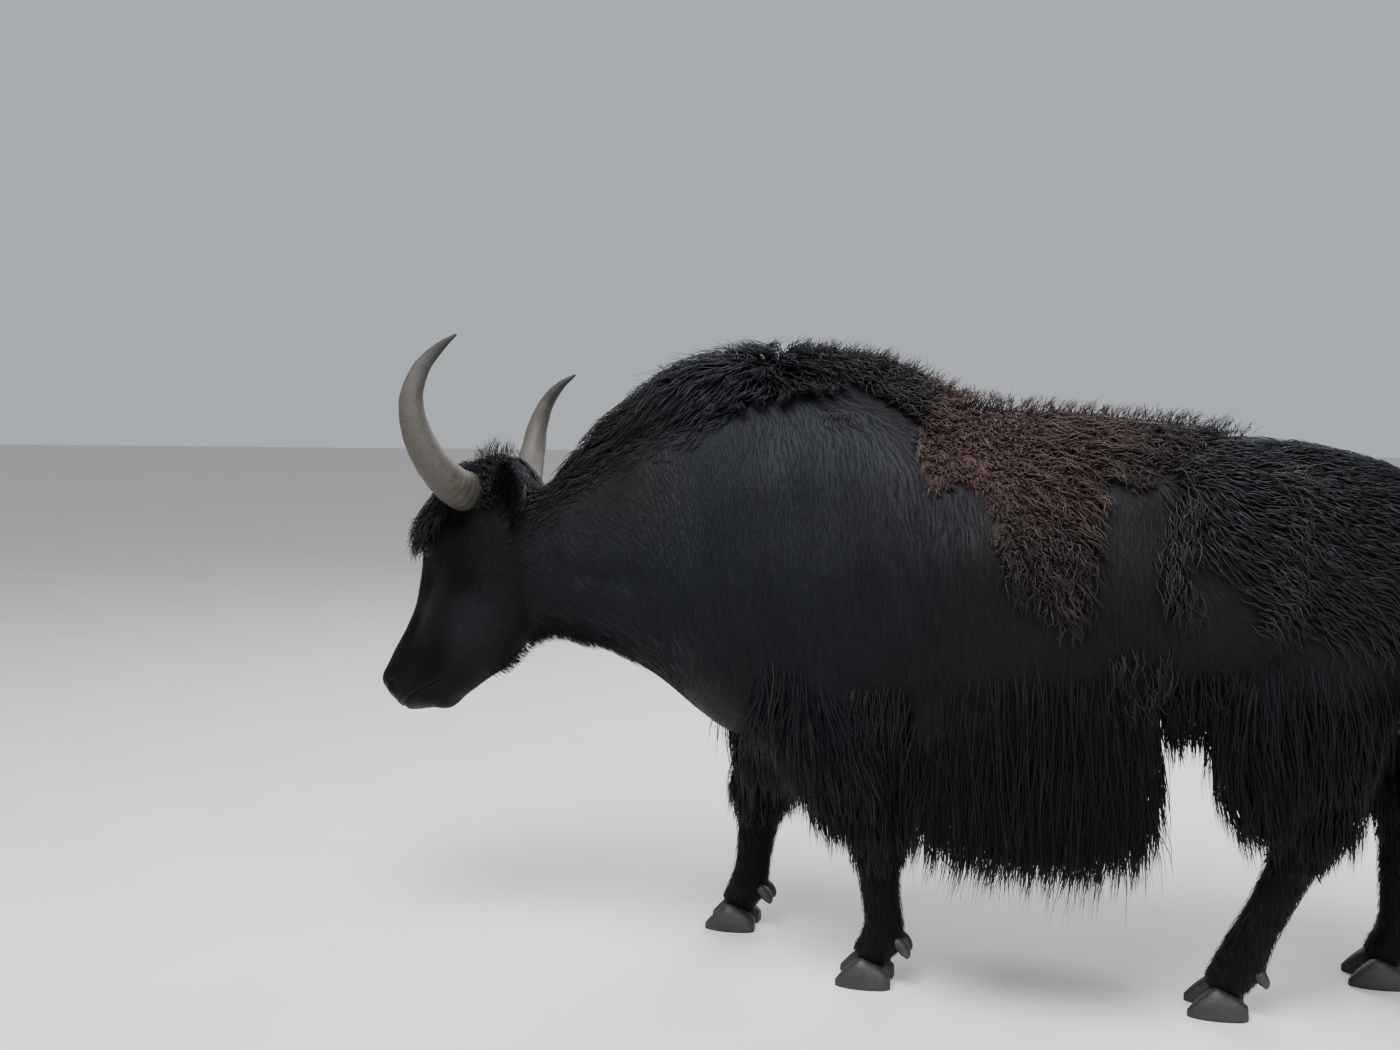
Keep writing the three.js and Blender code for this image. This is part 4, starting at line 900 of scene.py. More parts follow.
# painted shade inside the nostrils, darker the deeper the hollow
colours = colours * (1 - 0.85 * fade(nostril_depth, 3, 11))[:, None]
set_colour(skin, "coat", colours)
set_number(skin, "bare", np.maximum(bare, cup))
set_number(skin, "slant", np.maximum(*slant_areas(points)) * fade(points[:, 0], -970, -880))

# %% [markdown]
# ## How the hair lies
#
# A coat looks real when every tuft points the way it grows: down the face, back along the neck,
# and down the shoulder and ribs. The long hair of the forelegs fans out from a whorl above the
# elbow. This function gives the direction at each place, laid flat on the skin.

# %% The lie of the coat
whorls = {-1: np.array([-205.0, 0, 720.0]), 1: np.array([-300.0, 0, 720.0])}


def laid_flat(lie, outward, turned=None):
    """Turns directions about the skin's normal by an amount, and lays them on the skin."""
    if turned is not None:
        lie = lie + np.cross(outward, lie) * turned[:, None]
    return unit(lie - outward * np.sum(lie * outward, axis=1)[:, None])


def lie_of_coat(points, outward):
    """The direction in which the flat coat grows at places with these normals."""
    x, y, z = points.T
    down = np.array([0.16, 0, -1.0])
    lie = np.tile(down, (len(points), 1))
    neck, rump = slant_areas(points)
    lie = mix(lie, np.array([0.85, 0, -0.62]), neck[:, None])
    lie = mix(lie, np.array([0.85, 0, -0.5]), rump[:, None])
    back = fade(outward[:, 2], 0.45, 0.9) * fade(z, 1000, 1100)
    lie = mix(lie, np.array([1.0, 0, -0.1]), back[:, None])
    belly = fade(-outward[:, 2], 0.4, 0.8) * fade(z, 480, 520) * (x > -850)
    lie = mix(lie, np.array([1.0, 0, -0.1]), belly[:, None])
    for side, whorl in whorls.items():
        away = (points - whorl) * [1, 0, 1]
        reach = np.linalg.norm(away, axis=1)
        fan = unit(away + [0, 0, -60])
        near = (1 - fade(reach, 250, 420)) * (np.sign(y) == side) * (z < 740) * fade(-z, -740, -640)
        lie = mix(lie, fan, (near * 0.8)[:, None])
    along, out, left = head_places(points)
    face = (1 - fade(x, -960, -890)) * fade(along, -40, 30)
    cheek = fade(-out, 40, 160)
    down_it = mix(down_face, down_face * 0.45 - out_of_face * 0.9, cheek[:, None])
    lie = mix(lie, down_it, face[:, None])
    return laid_flat(lie, outward, 0.14 * ripple(points, 130, 41) + 0.06 * ripple(points, 34, 42))


# %% [markdown]
# ## Growing tufts
#
# Real hair is far too fine to model one by one, so neighbouring hairs are gathered in tufts. A
# tuft is a thin closed blade: it starts under the skin, widens, bends along its lie and ends in
# a point. It is made once as a pattern of three-sided rings and repeated with numbers, one copy
# for each root. Particle hair would be easier to comb, but it is lost when a model is exported.

# %% Read the skin
skin.data.calc_loop_triangles()
corner_count = len(skin.data.loop_triangles) * 3
corners = np.empty(corner_count, np.int32)
skin.data.loop_triangles.foreach_get("vertices", corners)
corners = corners.reshape(-1, 3)
loops = np.empty(corner_count, np.int32)
skin.data.loop_triangles.foreach_get("loops", loops)
loops = loops.reshape(-1, 3)
skin_points = to_stations(points_of(skin))
skin_normals = normals_of(skin)
skin_map = np.empty(len(skin.data.loops) * 2, np.float32)
skin.data.uv_layers["OFBake"].data.foreach_get("uv", skin_map)
skin_map = skin_map.reshape(-1, 2)
triangle_points = skin_points[corners]
centres = triangle_points.mean(axis=1)
facings = np.cross(
    triangle_points[:, 1] - triangle_points[:, 0], triangle_points[:, 2] - triangle_points[:, 0],
)
areas = np.linalg.norm(facings, axis=1) / 2
facings = unit(facings)
tree = BVHTree.FromPolygons(points_of(skin).tolist(), corners.tolist())
skin_bare = np.maximum(bare, cup)[corners].mean(axis=1)
print("skin triangles", len(corners), "area m2", round(areas.sum() / 1e6, 2))


# %% [markdown]
# ### Roots
#
# Roots are spread by chance over the skin's triangles, in proportion to their area and to a
# weight that says where a kind of hair grows. A fixed seed gives the same coat each time.

# %% Scatter roots
def scatter(weight, spacing, seed):
    """Spreads roots over the skin, about a spacing apart where the weight is 1."""
    chance = np.random.default_rng(seed)
    share = areas * np.clip(weight, 0, None) / spacing**2
    total = np.cumsum(share)
    count = int(total[-1])
    picked = np.searchsorted(total, (np.arange(count) + chance.random(count)) / count * total[-1])
    picked = np.minimum(picked, len(total) - 1)
    a, b = chance.random((2, count))
    a, b = np.where(a + b > 1, 1 - a, a), np.where(a + b > 1, 1 - b, b)
    parts = np.stack([1 - a - b, a, b], axis=1)[:, :, None]
    return {
        "root": (triangle_points[picked] * parts).sum(axis=1),
        "outward": unit((skin_normals[corners[picked]] * parts).sum(axis=1)),
        "map": (skin_map[loops[picked]] * parts).sum(axis=1),
    }


def nearest_on_skin(points):
    """The nearest places on the skin, and its normals there."""
    found = np.empty((len(points), 6))
    for index, point in enumerate(to_metres(points).tolist()):
        place, normal, _, _ = tree.find_nearest(point)
        found[index] = (*place, *normal)
    return to_stations(found[:, :3]), found[:, 3:]


# %% [markdown]
# A lying coat parts in fine lines. Three sine waves across its lie give an uneven pattern of
# them, and the tufts take it up: lighter and higher on a line, darker and lower beside it.

# %% Combed lines
def lines_across(across):
    return (np.sin(across / 9 * full) + np.sin(across / 14.6 * full + 1) + np.sin(across / 23 * full + 2)) / 2


def comb_lines(points):
    """Fine lines along the lie of the coat, between about -1 and 1."""
    x, z = points[:, 0], points[:, 2]
    drift = 6 * ripple(points, 110, 61) + 2.5 * ripple(points, 45, 62)
    neck, rump = slant_areas(points)
    lines = mix(lines_across(x + 0.16 * z + drift), lines_across(0.59 * x + 0.81 * z + drift), neck)
    return mix(lines, lines_across(0.3 * x + 0.5 * z + drift), rump)


# %% [markdown]
# ### A tuft's blade
#
# All tufts of a piece have the same pattern of faces, so one small table serves them all and
# only the places of the points differ. Each tuft also gets two maps: its own patch on the
# skin's unwrap, and a strip across and along it for the pattern of fine hairs.

# %% Blade
patch_half = 0.0015


def blade_faces(stations):
    """The triangles of one tuft: a root cap, bands between its rings, and a pointed end."""
    sides = ((0, 1), (1, 2), (2, 0))
    faces = [[0, 2, 1]]
    for low in range(0, 3 * (stations - 2), 3):
        for a, b in sides:
            faces += [[low + a, low + b, low + 3 + b], [low + a, low + 3 + b, low + 3 + a]]
    last = 3 * (stations - 2)
    return np.array(faces + [[last + a, last + b, last + 3] for a, b in sides])


def blade_mesh(name, points, faces, rounded):
    """A mesh of tufts, with its triangles: points has each tuft's, faces the pattern of one."""
    count, per_tuft = points.shape[:2]
    one = points[0] - points[0].mean(axis=0)
    if np.sum(one[faces[:, 0]] * np.cross(one[faces[:, 1]], one[faces[:, 2]])) < 0:
        faces = faces[:, ::-1]
    triangles = (faces[None] + (np.arange(count) * per_tuft)[:, None, None]).reshape(-1, 3)
    mesh = bpy.data.meshes.new(name)
    mesh.vertices.add(count * per_tuft)
    mesh.vertices.foreach_set("co", to_metres(points.reshape(-1, 3)).astype(np.float32).ravel())
    mesh.loops.add(len(triangles) * 3)
    mesh.loops.foreach_set("vertex_index", triangles.astype(np.int32).ravel())
    mesh.polygons.add(len(triangles))
    mesh.polygons.foreach_set("loop_start", np.arange(len(triangles), dtype=np.int32) * 3)
    mesh.polygons.foreach_set("use_smooth", np.full(len(triangles), rounded))
    mesh.update(calc_edges=True)
    return mesh, triangles


def add_map(mesh, name, places, triangles):
    """Adds a UV map from the places of the points."""
    layer = mesh.uv_layers.new(name=name)
    corners_at = places.reshape(-1, 2)[triangles.ravel()]
    layer.data.foreach_set("uv", corners_at.astype(np.float32).ravel())


# %% [markdown]
# ### Growing them
#
# A tuft's spine starts at its root and goes on step by step. Each step follows the lie, turned
# a little by chance, then sinks with the weight of the hair and keeps clear of the skin. At the
# end neighbours are gathered in locks and the spine is curled.

# %% Grow
coat = {}


def grow(
    name, roots, length, width, thick, lift, stations=5, hug=False, lie=lie_of_coat, hang=0.0, sway=0.12,
    curl=0.0, waves=0.8, crimp=None, arch=False, rise=0.0, streak=0.0, lock=0, gather=0.5, colour=None,
    root_dark=0.55, tip_light=1.3, vary=0.2, rounded=True, sink=3.0, seed=1,
):
    """Makes one piece of coat: a tuft at each root, all sizes in millimetres.

    lift is the height of the tips over the skin. With hug a tuft follows the skin, without it
    the tuft hangs free. curl and waves bend it, all together where crimp gives a wavelength.
    rise is how steeply free hair leaves the skin. streak is how strongly the coat parts in fine
    lines. lock is how many neighbouring tufts lean together by the share that gather gives.
    rounded tufts are shaded as round bundles, the others as flat ones. sink is how deep a tuft
    starts under the skin.
    """
    chance = np.random.default_rng(seed)
    root, outward = roots["root"], roots["outward"]
    count = len(root)
    length = np.broadcast_to(length, count) * chance.uniform(0.75, 1.2, count)
    width = np.broadcast_to(width, count) * chance.uniform(0.75, 1.25, count)
    lift = np.broadcast_to(lift, count) * chance.uniform(0.6, 1.4, count)
    rise = np.broadcast_to(rise, count)
    swing = sway * chance.normal(size=count)
    shade = chance.lognormal(0, vary, count)
    if streak:
        lines = comb_lines(root)
        shade = shade * (1 + streak * lines)
        lift = lift * (1 + 0.5 * streak * lines)
    if lock:
        middles = chance.choice(count, max(count // lock, 1), replace=False)
        lock_tree = KDTree(len(middles))
        for index, place in enumerate(root[middles].tolist()):
            lock_tree.insert(place, index)
        lock_tree.balance()
        own = np.array([lock_tree.find(place)[1] for place in root.tolist()])
        length = length * chance.uniform(0.8, 1.1, len(middles))[own]
        shade = shade * chance.lognormal(0, vary * 0.7, len(middles))[own]
        lean = (root[middles[own]] - root) * gather
    step = (length / (stations - 1))[:, None]
    place, up = root.copy(), outward.copy()
    spine, ups = [root - outward * sink], [outward]
    shares = np.linspace(0, 1, stations)
    for share in shares[1:]:
        heading = lie(place, up)
        heading = heading + np.cross(up, heading) * swing[:, None]
        heading = unit(mix(heading, np.array([0, 0, -1.0]), hang * share))
        heading = unit(heading + up * (rise * (1.2 - share))[:, None])
        place = place + heading * step
        on_skin, facing = nearest_on_skin(place)
        height = np.sum((place - on_skin) * facing, axis=1)
        wanted = lift * (math.sin(math.pi * min(share, 0.93)) if arch else min(share * 2.4, 1))
        if hug:
            place = on_skin + facing * wanted[:, None]
            up = unit(up * 0.4 + facing * 0.6)
        else:
            near = (height < wanted) & (np.linalg.norm(place - on_skin, axis=1) < 80)
            place = place + facing * np.where(near, wanted - height, 0)[:, None]
            up = unit(np.where(near[:, None], up * 0.5 + facing * 0.5, up))
        spine.append(place)
        ups.append(up)
    spine, ups = np.stack(spine, axis=1), np.stack(ups, axis=1)
    if lock:
        spine = spine + lean[:, None, :] * (shares**1.3)[None, :, None]
    if curl:
        start = chance.uniform(0, full, count)[:, None]
        turned = start + shares[None, :] * waves * full * chance.uniform(0.8, 1.2, (count, 1))
        if crimp:
            run = np.sum(root * lie(root, outward), axis=1)[:, None] + shares[None, :] * length[:, None]
            turned = run / crimp * full + 1.6 * ripple(root, 110, seed)[:, None] + 0.5 * start / full
        grown = np.minimum(shares * 3, 1)[None, :] * curl
        line = np.gradient(spine, axis=1)
        aside = unit(np.cross(line, ups))
        spine = spine + aside * (np.sin(turned) * grown)[:, :, None]
        spine = spine + ups * ((np.cos(turned) + 1) * 0.5 * grown)[:, :, None]
    line = unit(np.gradient(spine, axis=1))
    aside = unit(np.cross(line, ups))
    above = np.cross(aside, line)
    shape = np.interp(shares, [0, 0.3, 0.7, 1], [0.5, 1, 0.8, 0.0])
    half = (width[:, None] * shape[None, :] / 2)[:, :, None]
    tall = (thick * np.interp(shares, [0, 0.4, 1], [0.8, 1, 0.0]))[None, :, None]
    edges = [spine + aside * half, spine - aside * half, spine + above * tall]
    rings = np.stack(edges, axis=2)[:, :-1]
    points = np.concatenate([rings.reshape(count, -1, 3), spine[:, -1:]], axis=1)
    mesh, triangles = blade_mesh(name, points, blade_faces(stations), rounded)

    across = np.concatenate([np.tile([1.0, -1.0, 0.0], stations - 1), [0.0]])
    lengthwise = np.concatenate([np.repeat(shares[:-1], 3), [1.0]])
    patch = roots["map"][:, None, :] + patch_half * np.stack([across, lengthwise * 2 - 1], axis=1)[None]
    add_map(mesh, "OFBake", patch, triangles)
    offset = chance.uniform(0, 40, (count, 1))
    strip = [across / 2 * width[:, None] / 4 + offset, lengthwise[None] * length[:, None] / 60 + offset]
    add_map(mesh, "strand", np.stack(strip, axis=2), triangles)
    mesh.uv_layers.active_index = 0
    piece = bpy.data.objects.new(name, mesh)
    bpy.context.collection.objects.link(piece)
    base = marking(root) if colour is None else colour(root, chance)
    base = base * shade[:, None]
    along_it = np.interp(lengthwise, [0, 0.5, 1], [root_dark, 1, tip_light])
    set_colour(piece, "coat", (base[:, None, :] * along_it[None, :, None]).reshape(-1, 3))
    coat[name] = piece
    print(name, count, "tufts", len(triangles), "triangles")


# %% [markdown]
# ## Short coat
#
# The sleek summer coat is short and lies flat: finest on the face and feet, longer on the neck
# and ribs. The skin's bump carries the single hairs, and these tufts break up its outline and
# catch the light in fine streaks.

# %% Regions of the short coat
cx, cy, cz = centres.T
c_along, c_out, c_left = head_places(centres)
front_limit = -905
is_head = (cx < front_limit).astype(float)
open_coat = (1 - fade(skin_bare, 0.2, 0.5)) * (1 - on_ear(centres))
mane, wool = in_mane(centres), in_wool(centres)
covered = np.clip(wool + mane, 0, 1)


def short_length(points):
    """How long the flat coat is, in millimetres."""
    x, z = points[:, 0], points[:, 2]
    along, out, left = head_places(points)
    on_face = mix(20, 10, fade(along, 120, 420))
    on_face = mix(on_face, 6, fade(along, 500, 560))
    on_face = mix(on_face, 24, fade(-out, 130, 240))
    on_body = smooth_line([-905, -700, -300, 200, 600, 1220], [25, 32, 36, 40, 48, 52], x)
    long = mix(on_face, on_body, fade(x, -975, -890))
    return mix(long, mix(22, 38, fade(z, 60, 320)), 1 - fade(z, 330, 520))


def short_coat_piece(name, weight, spacing, seed, width=0.04, lift=0.014, vary=0.08):
    roots = scatter(weight * open_coat, spacing, seed)
    long = short_length(roots["root"])
    grow(
        name, roots, length=long, width=1.2 + long * width, thick=0.3 + long.mean() * 0.01,
        lift=0.4 + long * lift, stations=3, hug=True, sway=0.05, streak=0.2, root_dark=0.92,
        tip_light=1.06, vary=vary, rounded=False, sink=1.0, seed=seed,
    )


short_coat_piece("fur_head", is_head, 7.1, 101, 0.05, 0.04)
in_skirt = between(cx, 30, 60, 550, 585) * (1 - fade(cz, 660, 720)) * (np.abs(cy) > 205)
short_coat_piece("fur_neck", (1 - is_head) * (cx < -500) * (1 - mane * 0.6), 8.4, 102)
short_coat_piece("fur_shoulders", (cx >= -500) * (cx < 20) * (cz > 500) * (1 - covered * 0.9), 10.6, 103)
barrel = (cx >= 20) * (cx < 600) * (cz > 500)
short_coat_piece("fur_barrel", barrel * (1 - covered) * (1 - in_skirt), 10.6, 104)
under_rump = 1 - 0.7 * in_rump(centres)
short_coat_piece("fur_hindquarters", (cx >= 600) * (cz > 500) * under_rump, 12.5, 105)
lower_legs = (cz <= 500) * np.where(cz < 330, 1, 0.4)
short_coat_piece("fur_legs", lower_legs * (1 - in_skirt), 9.3, 106, 0.06, 0.12, 0.16)

# %% [markdown]
# ## Mane and crest
#
# Long hair covers the neck and hump. It parts on top of the hump: in front of the parting it
# falls forward and down, and its tips stick out along the top line. Behind the parting it is
# curly and brown from the sun. Lower on the neck it grows shorter and passes into the flat coat.

# %% Mane
def mane_lie(points, outward):
    front = 1 - fade(points[:, 0] + 80 * ripple(points, 60, 50), -440, -160)
    lie = mix(np.array([1.0, 0, -0.15]), np.array([-1.0, 0, -0.45]), front[:, None])
    lie = lie + np.array([0, 0, -0.6]) * (1 - np.abs(outward[:, 2:3]))
    return laid_flat(lie, outward, 0.25 * ripple(points, 90, 43) + 0.2 * ripple(points, 30, 44))


def room_in_crest(points):
    """How far the crest's own top line is above places."""
    return smooth_line(crest.places, crest.rings[:, 2] + crest.rings[:, 4], points[:, 0]) - points[:, 2]


front_part = 1 - fade(cx, -330, -180)
parting = np.exp(-(((cx + 290) / 90) ** 2)) * (facings[:, 2] > 0.3)
roots = scatter(mane * (front_part + 0.7 * parting) * open_coat, 7.0, 111)
hem = smooth_line(crest_hem_at, crest_hem, roots["root"][:, 0])
long_part = fade(roots["root"][:, 2], hem - 100, hem + 60)
grow(
    "mane", roots, length=mix(44, 108, long_part), width=mix(2.8, 3.8, long_part), thick=1.4,
    lift=mix(2.5, 1, 1 - long_part) + np.clip(room_in_crest(roots["root"]) * 0.55, 0, 30) * long_part,
    lie=mane_lie, hang=0.15, rise=0.12 + 0.9 * np.exp(-(((roots["root"][:, 0] + 290) / 110) ** 2)),
    sway=0.16, curl=2, streak=0.12, lock=8, gather=0.3, root_dark=0.95, tip_light=1.4, vary=0.12,
    seed=111,
)
roots = scatter(in_crest(centres) * fade(cx, -400, -230) * (facings[:, 2] > -0.2), 5.8, 112)
grow(
    "crest_curls", roots, length=64, width=3.4, thick=1.5, lift=20, stations=6, lie=mane_lie,
    rise=0.25 + 0.6 * np.exp(-(((roots["root"][:, 0] + 290) / 110) ** 2)), sway=0.5, curl=6, waves=1.3,
    lock=8, gather=0.6, root_dark=0.5, tip_light=1.5, seed=112,
)

# %% [markdown]
# Wisps stand up from the hump and the back, where the hair is loose, and break the outline.

# %% Loose tips along the top line
def upright_lie(points, outward):
    turned = 1.3 * ripple(points, 26, 49)
    return unit(np.stack([np.cos(turned), 0.6 * np.sin(turned), 0.5 + 0 * turned], axis=1))


def tip_lie(points, outward):
    return mix(upright_lie(points, outward), mane_lie(points, outward), front_tips[:, None])


top_line = (facings[:, 2] > 0.7) * (np.abs(cy) < 55) * fade(cx, -700, -560) * (1 - fade(cx, 640, 760))
roots = scatter(top_line * mix(0.5, 2.0, fade(cx, -400, -300)) * mix(1, 0.5, fade(cx, 80, 200)), 11, 113)
front_tips = 1 - fade(roots["root"][:, 0], -330, -230)
grow(
    "loose_tips", roots, length=mix(62, 84, front_tips), width=2.2, thick=1.0,
    lift=mix(24, 32, front_tips), lie=tip_lie, rise=0.8, sway=0.5, curl=7, waves=1.2, lock=8, gather=0.9,
    tip_light=1.4, seed=113,
)

# %% [markdown]
# ## Wool mat and rump
#
# The unshed wool on the back is a felt of small crimped locks. Towards its lower edge and its
# rear it hangs in longer strings. Over the croup the hair is black and wavy, in ridges that run
# to the tail.

# %% Wool
def wool_lie(points, outward):
    z = points[:, 2]
    lie = mix(np.array([0.9, 0, -0.5]), np.array([0.3, 0, -1.0]), (1 - fade(z, 950, 1200))[:, None])
    return laid_flat(lie, outward, 0.5 * ripple(points, 70, 47) + 0.3 * ripple(points, 24, 48))


roots = scatter(wool, 7.2, 121)
grow(
    "wool", roots, length=23, width=3.6, thick=1.5, lift=8 + 6 * ripple(roots["root"], 22, 26),
    stations=4, hug=True, lie=wool_lie, arch=True, sway=0.85, curl=2.5, waves=1.0, root_dark=0.74,
    tip_light=0.95, vary=0.14, seed=121,
)
roots = scatter(wool * np.maximum(fade(cx, 230, 340), 1 - fade(cz, 1000, 1080)), 12.5, 125)
grow(
    "wool_strings", roots, length=74, width=3.4, thick=1.6, lift=16, stations=6, hug=True, lie=wool_lie,
    sway=0.2, curl=3.5, waves=1.6, lock=9, gather=0.6, root_dark=0.5, tip_light=1.15, seed=125,
)

# %% [markdown]
# The tufts of the rump follow the skin. They are crimped together, so that their waves line up
# in ridges.

# %% Rump
roots = scatter(in_rump(centres), 11.6, 122)
grow(
    "rump", roots, length=84, width=4.4, thick=1.8, lift=9, hug=True, sway=0.1, curl=4.5, waves=1.3,
    crimp=66, streak=0.22, lock=5, gather=0.35, root_dark=0.6, tip_light=1.2, vary=0.12, seed=122,
)

# %% [markdown]
# ### Rags
#
# Where the winter wool lets go, it hangs in rags: bunches of long curly hair, browner than the
# coat. Two strips of them lie on the flank before and behind the hip, and a few over the skirt.

# %% Rags
def strip_of_rags(x_at, z_at, half):
    """1 along a line down the flank, 0 away from it."""
    line = smooth_line(z_at, x_at, cz) + 12 * ripple(centres, 60, 27)
    inside = fade(cz, z_at[0], z_at[0] + 40) * (1 - fade(cz, z_at[-1] - 40, z_at[-1]))
    return np.exp(-(((cx - line) / half) ** 2)) * inside * (np.abs(cy) > 120)


def rag_colour(points, chance):
    brown = chance.uniform(0.2, 0.9, len(points)) * mix(0.3, 1, fade(points[:, 2], 820, 960))
    return mix(marking(points), mat_brown * 1.3, brown[:, None])


ragged = strip_of_rags([735, 780, 795, 735], [850, 1000, 1100, 1195], 24)
ragged = np.maximum(ragged, strip_of_rags([610, 560, 600, 565], [880, 1000, 1100, 1195], 20))
above_skirt = between(cx, 430, 470, 560, 600) * fade(cz, 690, 720) * (1 - fade(cz, 800, 840))
above_skirt = above_skirt * (np.abs(cy) > 200) * fade(ripple(centres, 90, 25), -0.5, 0.2)
roots = scatter(np.maximum(ragged, 0.4 * above_skirt), 7.6, 123)
grow(
    "rags", roots, length=78, width=3, thick=1.4, lift=22, stations=6, hang=0.5, rise=0.2, sway=0.3,
    curl=5, waves=1.2, lock=9, gather=0.65, colour=rag_colour, tip_light=1.2, seed=123,
)

# %% [markdown]
# Under the crest a small fold of skin is rubbed, and its hair is slightly paler.

# %% Rubbed fold
def rubbed(points, chance):
    return mix(marking(points), tan, (0.16 * chance.uniform(0.2, 1, len(points)))[:, None])


on_fold = (np.abs(cx + 140) < 36) * (np.abs(cz - 1290 + 0.12 * (cx + 140)) < 6) * (np.abs(cy) > 60)
roots = scatter(on_fold * (1 - in_crest(centres)), 4.6, 124)
grow(
    "fold_hair", roots, length=18, width=2.2, thick=0.7, lift=2.5, stations=4, hug=True, sway=0.3,
    colour=rubbed, seed=124,
)

# %% [markdown]
# ## Skirts, sleeves and breeches
#
# Long straight hair hangs from the flanks, the forelegs and the thighs, nearly to the hocks.
# These tufts leave the body and fall: they only follow the skin where they would cut into it.
# The skirt bulges over its own root like a cushion, and its ends gather in points.

# %% Skirts
def skirt_lie(points, outward):
    swept = 0.05 - 0.3 * (1 - fade(points[:, 2], 300, 430)) + 0.09 * ripple(points, 100, 45)
    lie = np.tile([0.0, 0, -1.0], (len(points), 1))
    lie[:, 0] = swept
    return unit(lie)


def hem_of_skirt(x):
    return smooth_line([20, 40, 157, 241, 350, 445, 544, 590], [420, 350, 298, 284, 292, 311, 368, 470], x)


def top_of_skirt(points):
    places = [0, 60, 155, 235, 392, 480, 527, 590]
    line = smooth_line(places, [600, 680, 735, 765, 795, 790, 750, 650], points[:, 0])
    return line + 22 * ripple(points, 50, 24)


below_top = top_of_skirt(centres) - cz
skirt_zone = between(cx, 10, 50, 550, 595) * (below_top > 0) * (np.abs(cy) > 205)
skirt_zone = skirt_zone * mix(0.2, 1, fade(below_top, 0, 150))
for side, name in ((-1, "skirt_left"), (1, "skirt_right")):
    roots = scatter(skirt_zone * (np.sign(cy) == side), 8.8, 130 + side)
    sunk = top_of_skirt(roots["root"]) - roots["root"][:, 2]
    height = roots["root"][:, 2] - hem_of_skirt(roots["root"][:, 0])
    grow(
        name, roots, length=np.clip(height * 0.95, 60, 420), width=3.0, thick=1.3,
        lift=2 + 17 * fade(sunk, 10, 170), lie=skirt_lie, hang=0.3, rise=0.06, sway=0.1, curl=7, lock=14,
        root_dark=0.8, tip_light=1.1, vary=0.12, seed=130 + side,
    )


# %% [markdown]
# ### Sleeves and breeches
#
# The long hair of the upper legs grows where the sleeve forms are, thinner towards the top. Its
# length is what is left down to a hem near the knee or the hock.

# %% Sleeves and breeches
def sleeve_weight(leg, top, bottom, fore):
    """1 on the skin of one leg's sleeve of long hair, thinning out towards its top."""
    form = leg["sleeve"]
    height = np.clip(cz, form.rings[-1, 2], form.rings[0, 2])
    order = np.argsort(form.rings[:, 2])
    axis = smooth_line(form.rings[order, 2], form.rings[order], height)
    away = np.hypot((cx - axis[:, 0]) / (axis[:, 4] + 20), (cy - axis[:, 1]) / (axis[:, 3] + 20))
    uneven = cz + 26 * ripple(centres, 60, 28) + (0.6 * (cx - whorls[leg["side"]][0]) if fore else 0)
    return (away < 1) * (np.sign(cy) == leg["side"]) * (1 - fade(uneven, top - 110, top)) * (cz > bottom)


def sleeve_colour(points, chance):
    """Black, painted lighter on the forelegs as the light they catch, with a few locks that the sun has
    bleached.
    """
    bleached = (chance.random(len(points)) < 0.14) * (points[:, 0] < 100)
    # painted light: the sleeves of the forelegs are made half as light again
    own = marking(points) * mix(1.5, 1, fade(points[:, 0], 60, 140))[:, None]
    return mix(own, tan, (bleached * chance.uniform(0.05, 0.22, len(points)))[:, None])


for number, (name, leg) in enumerate(legs.items()):
    fore = name.startswith("front")
    weight = sleeve_weight(leg, 770 if fore else 830, 300 if fore else 345, fore)
    roots = scatter(weight, 8.2 if fore else 10.4, 140 + number)
    sleeve_hem = {"front_left": 306, "front_right": 286}.get(name, 362)
    fall = np.clip(roots["root"][:, 2] - sleeve_hem, 50, 185)
    grow(
        f"sleeve_{name}", roots, length=fall, width=3.2, thick=1.3, lift=np.clip(fall * 0.16, 8, 26),
        hang=0.35, rise=0.06, sway=0.1, curl=4, lock=10, colour=sleeve_colour, root_dark=0.7,
        tip_light=1.25, vary=0.14, seed=140 + number,
    )

# %% [markdown]
# ### Fringes and tail
#
# Short fringes hang under the throat, from the brisket, at the flank and behind the elbow. The
# switch of the tail is one thick brush of long hair.

# %% Throat, brisket and tail
def straight_down(points, outward):
    return np.tile([0.03, 0, -1.0], (len(points), 1))


def back_and_down(points, outward):
    return unit(np.tile([0.85, 0, -0.5], (len(points), 1)) + outward * 0.15)


under_throat = fade(-facings[:, 2], 0.35, 0.8) * fade(cx, -1010, -960)
under_throat = under_throat * (1 - fade(cx, -720, -600)) * (cz > 600)
roots = scatter(under_throat * open_coat, 6.4, 153)
grow(
    "throat_hair", roots, length=mix(20, 30, fade(roots["root"][:, 0], -980, -900)), width=2.0, thick=0.9,
    lift=3, stations=4, lie=back_and_down, rise=0.02, sway=0.35, curl=1.5, waves=0.7, vary=0.12, seed=153,
)
brisket = between(cx, -420, -350, -80, -50) * (cz < 590) * (cz > 505) * (np.abs(cy) < 75)
roots = scatter(brisket, 8.6, 151)
grow(
    "brisket", roots, length=160, width=4.5, thick=1.8, lift=6, lie=straight_down, sway=0.06, curl=4,
    lock=8, seed=151,
)
flank = between(cx, 560, 590, 720, 760) * (1 - fade(cz, 740, 790)) * (cz > 600) * (np.abs(cy) > 90)
roots = scatter(flank, 8.2, 155)
grow(
    "flank_fringe", roots, length=105, width=3.2, thick=1.3, lift=6, lie=straight_down, sway=0.12, curl=4,
    lock=10, vary=0.12, seed=155,
)
behind_elbow = between(cx, -110, -70, 20, 60) * fade(cz, 540, 570) * (1 - fade(cz, 690, 720))
behind_elbow = behind_elbow * (np.abs(cy) > 140)
roots = scatter(behind_elbow, 8, 154)
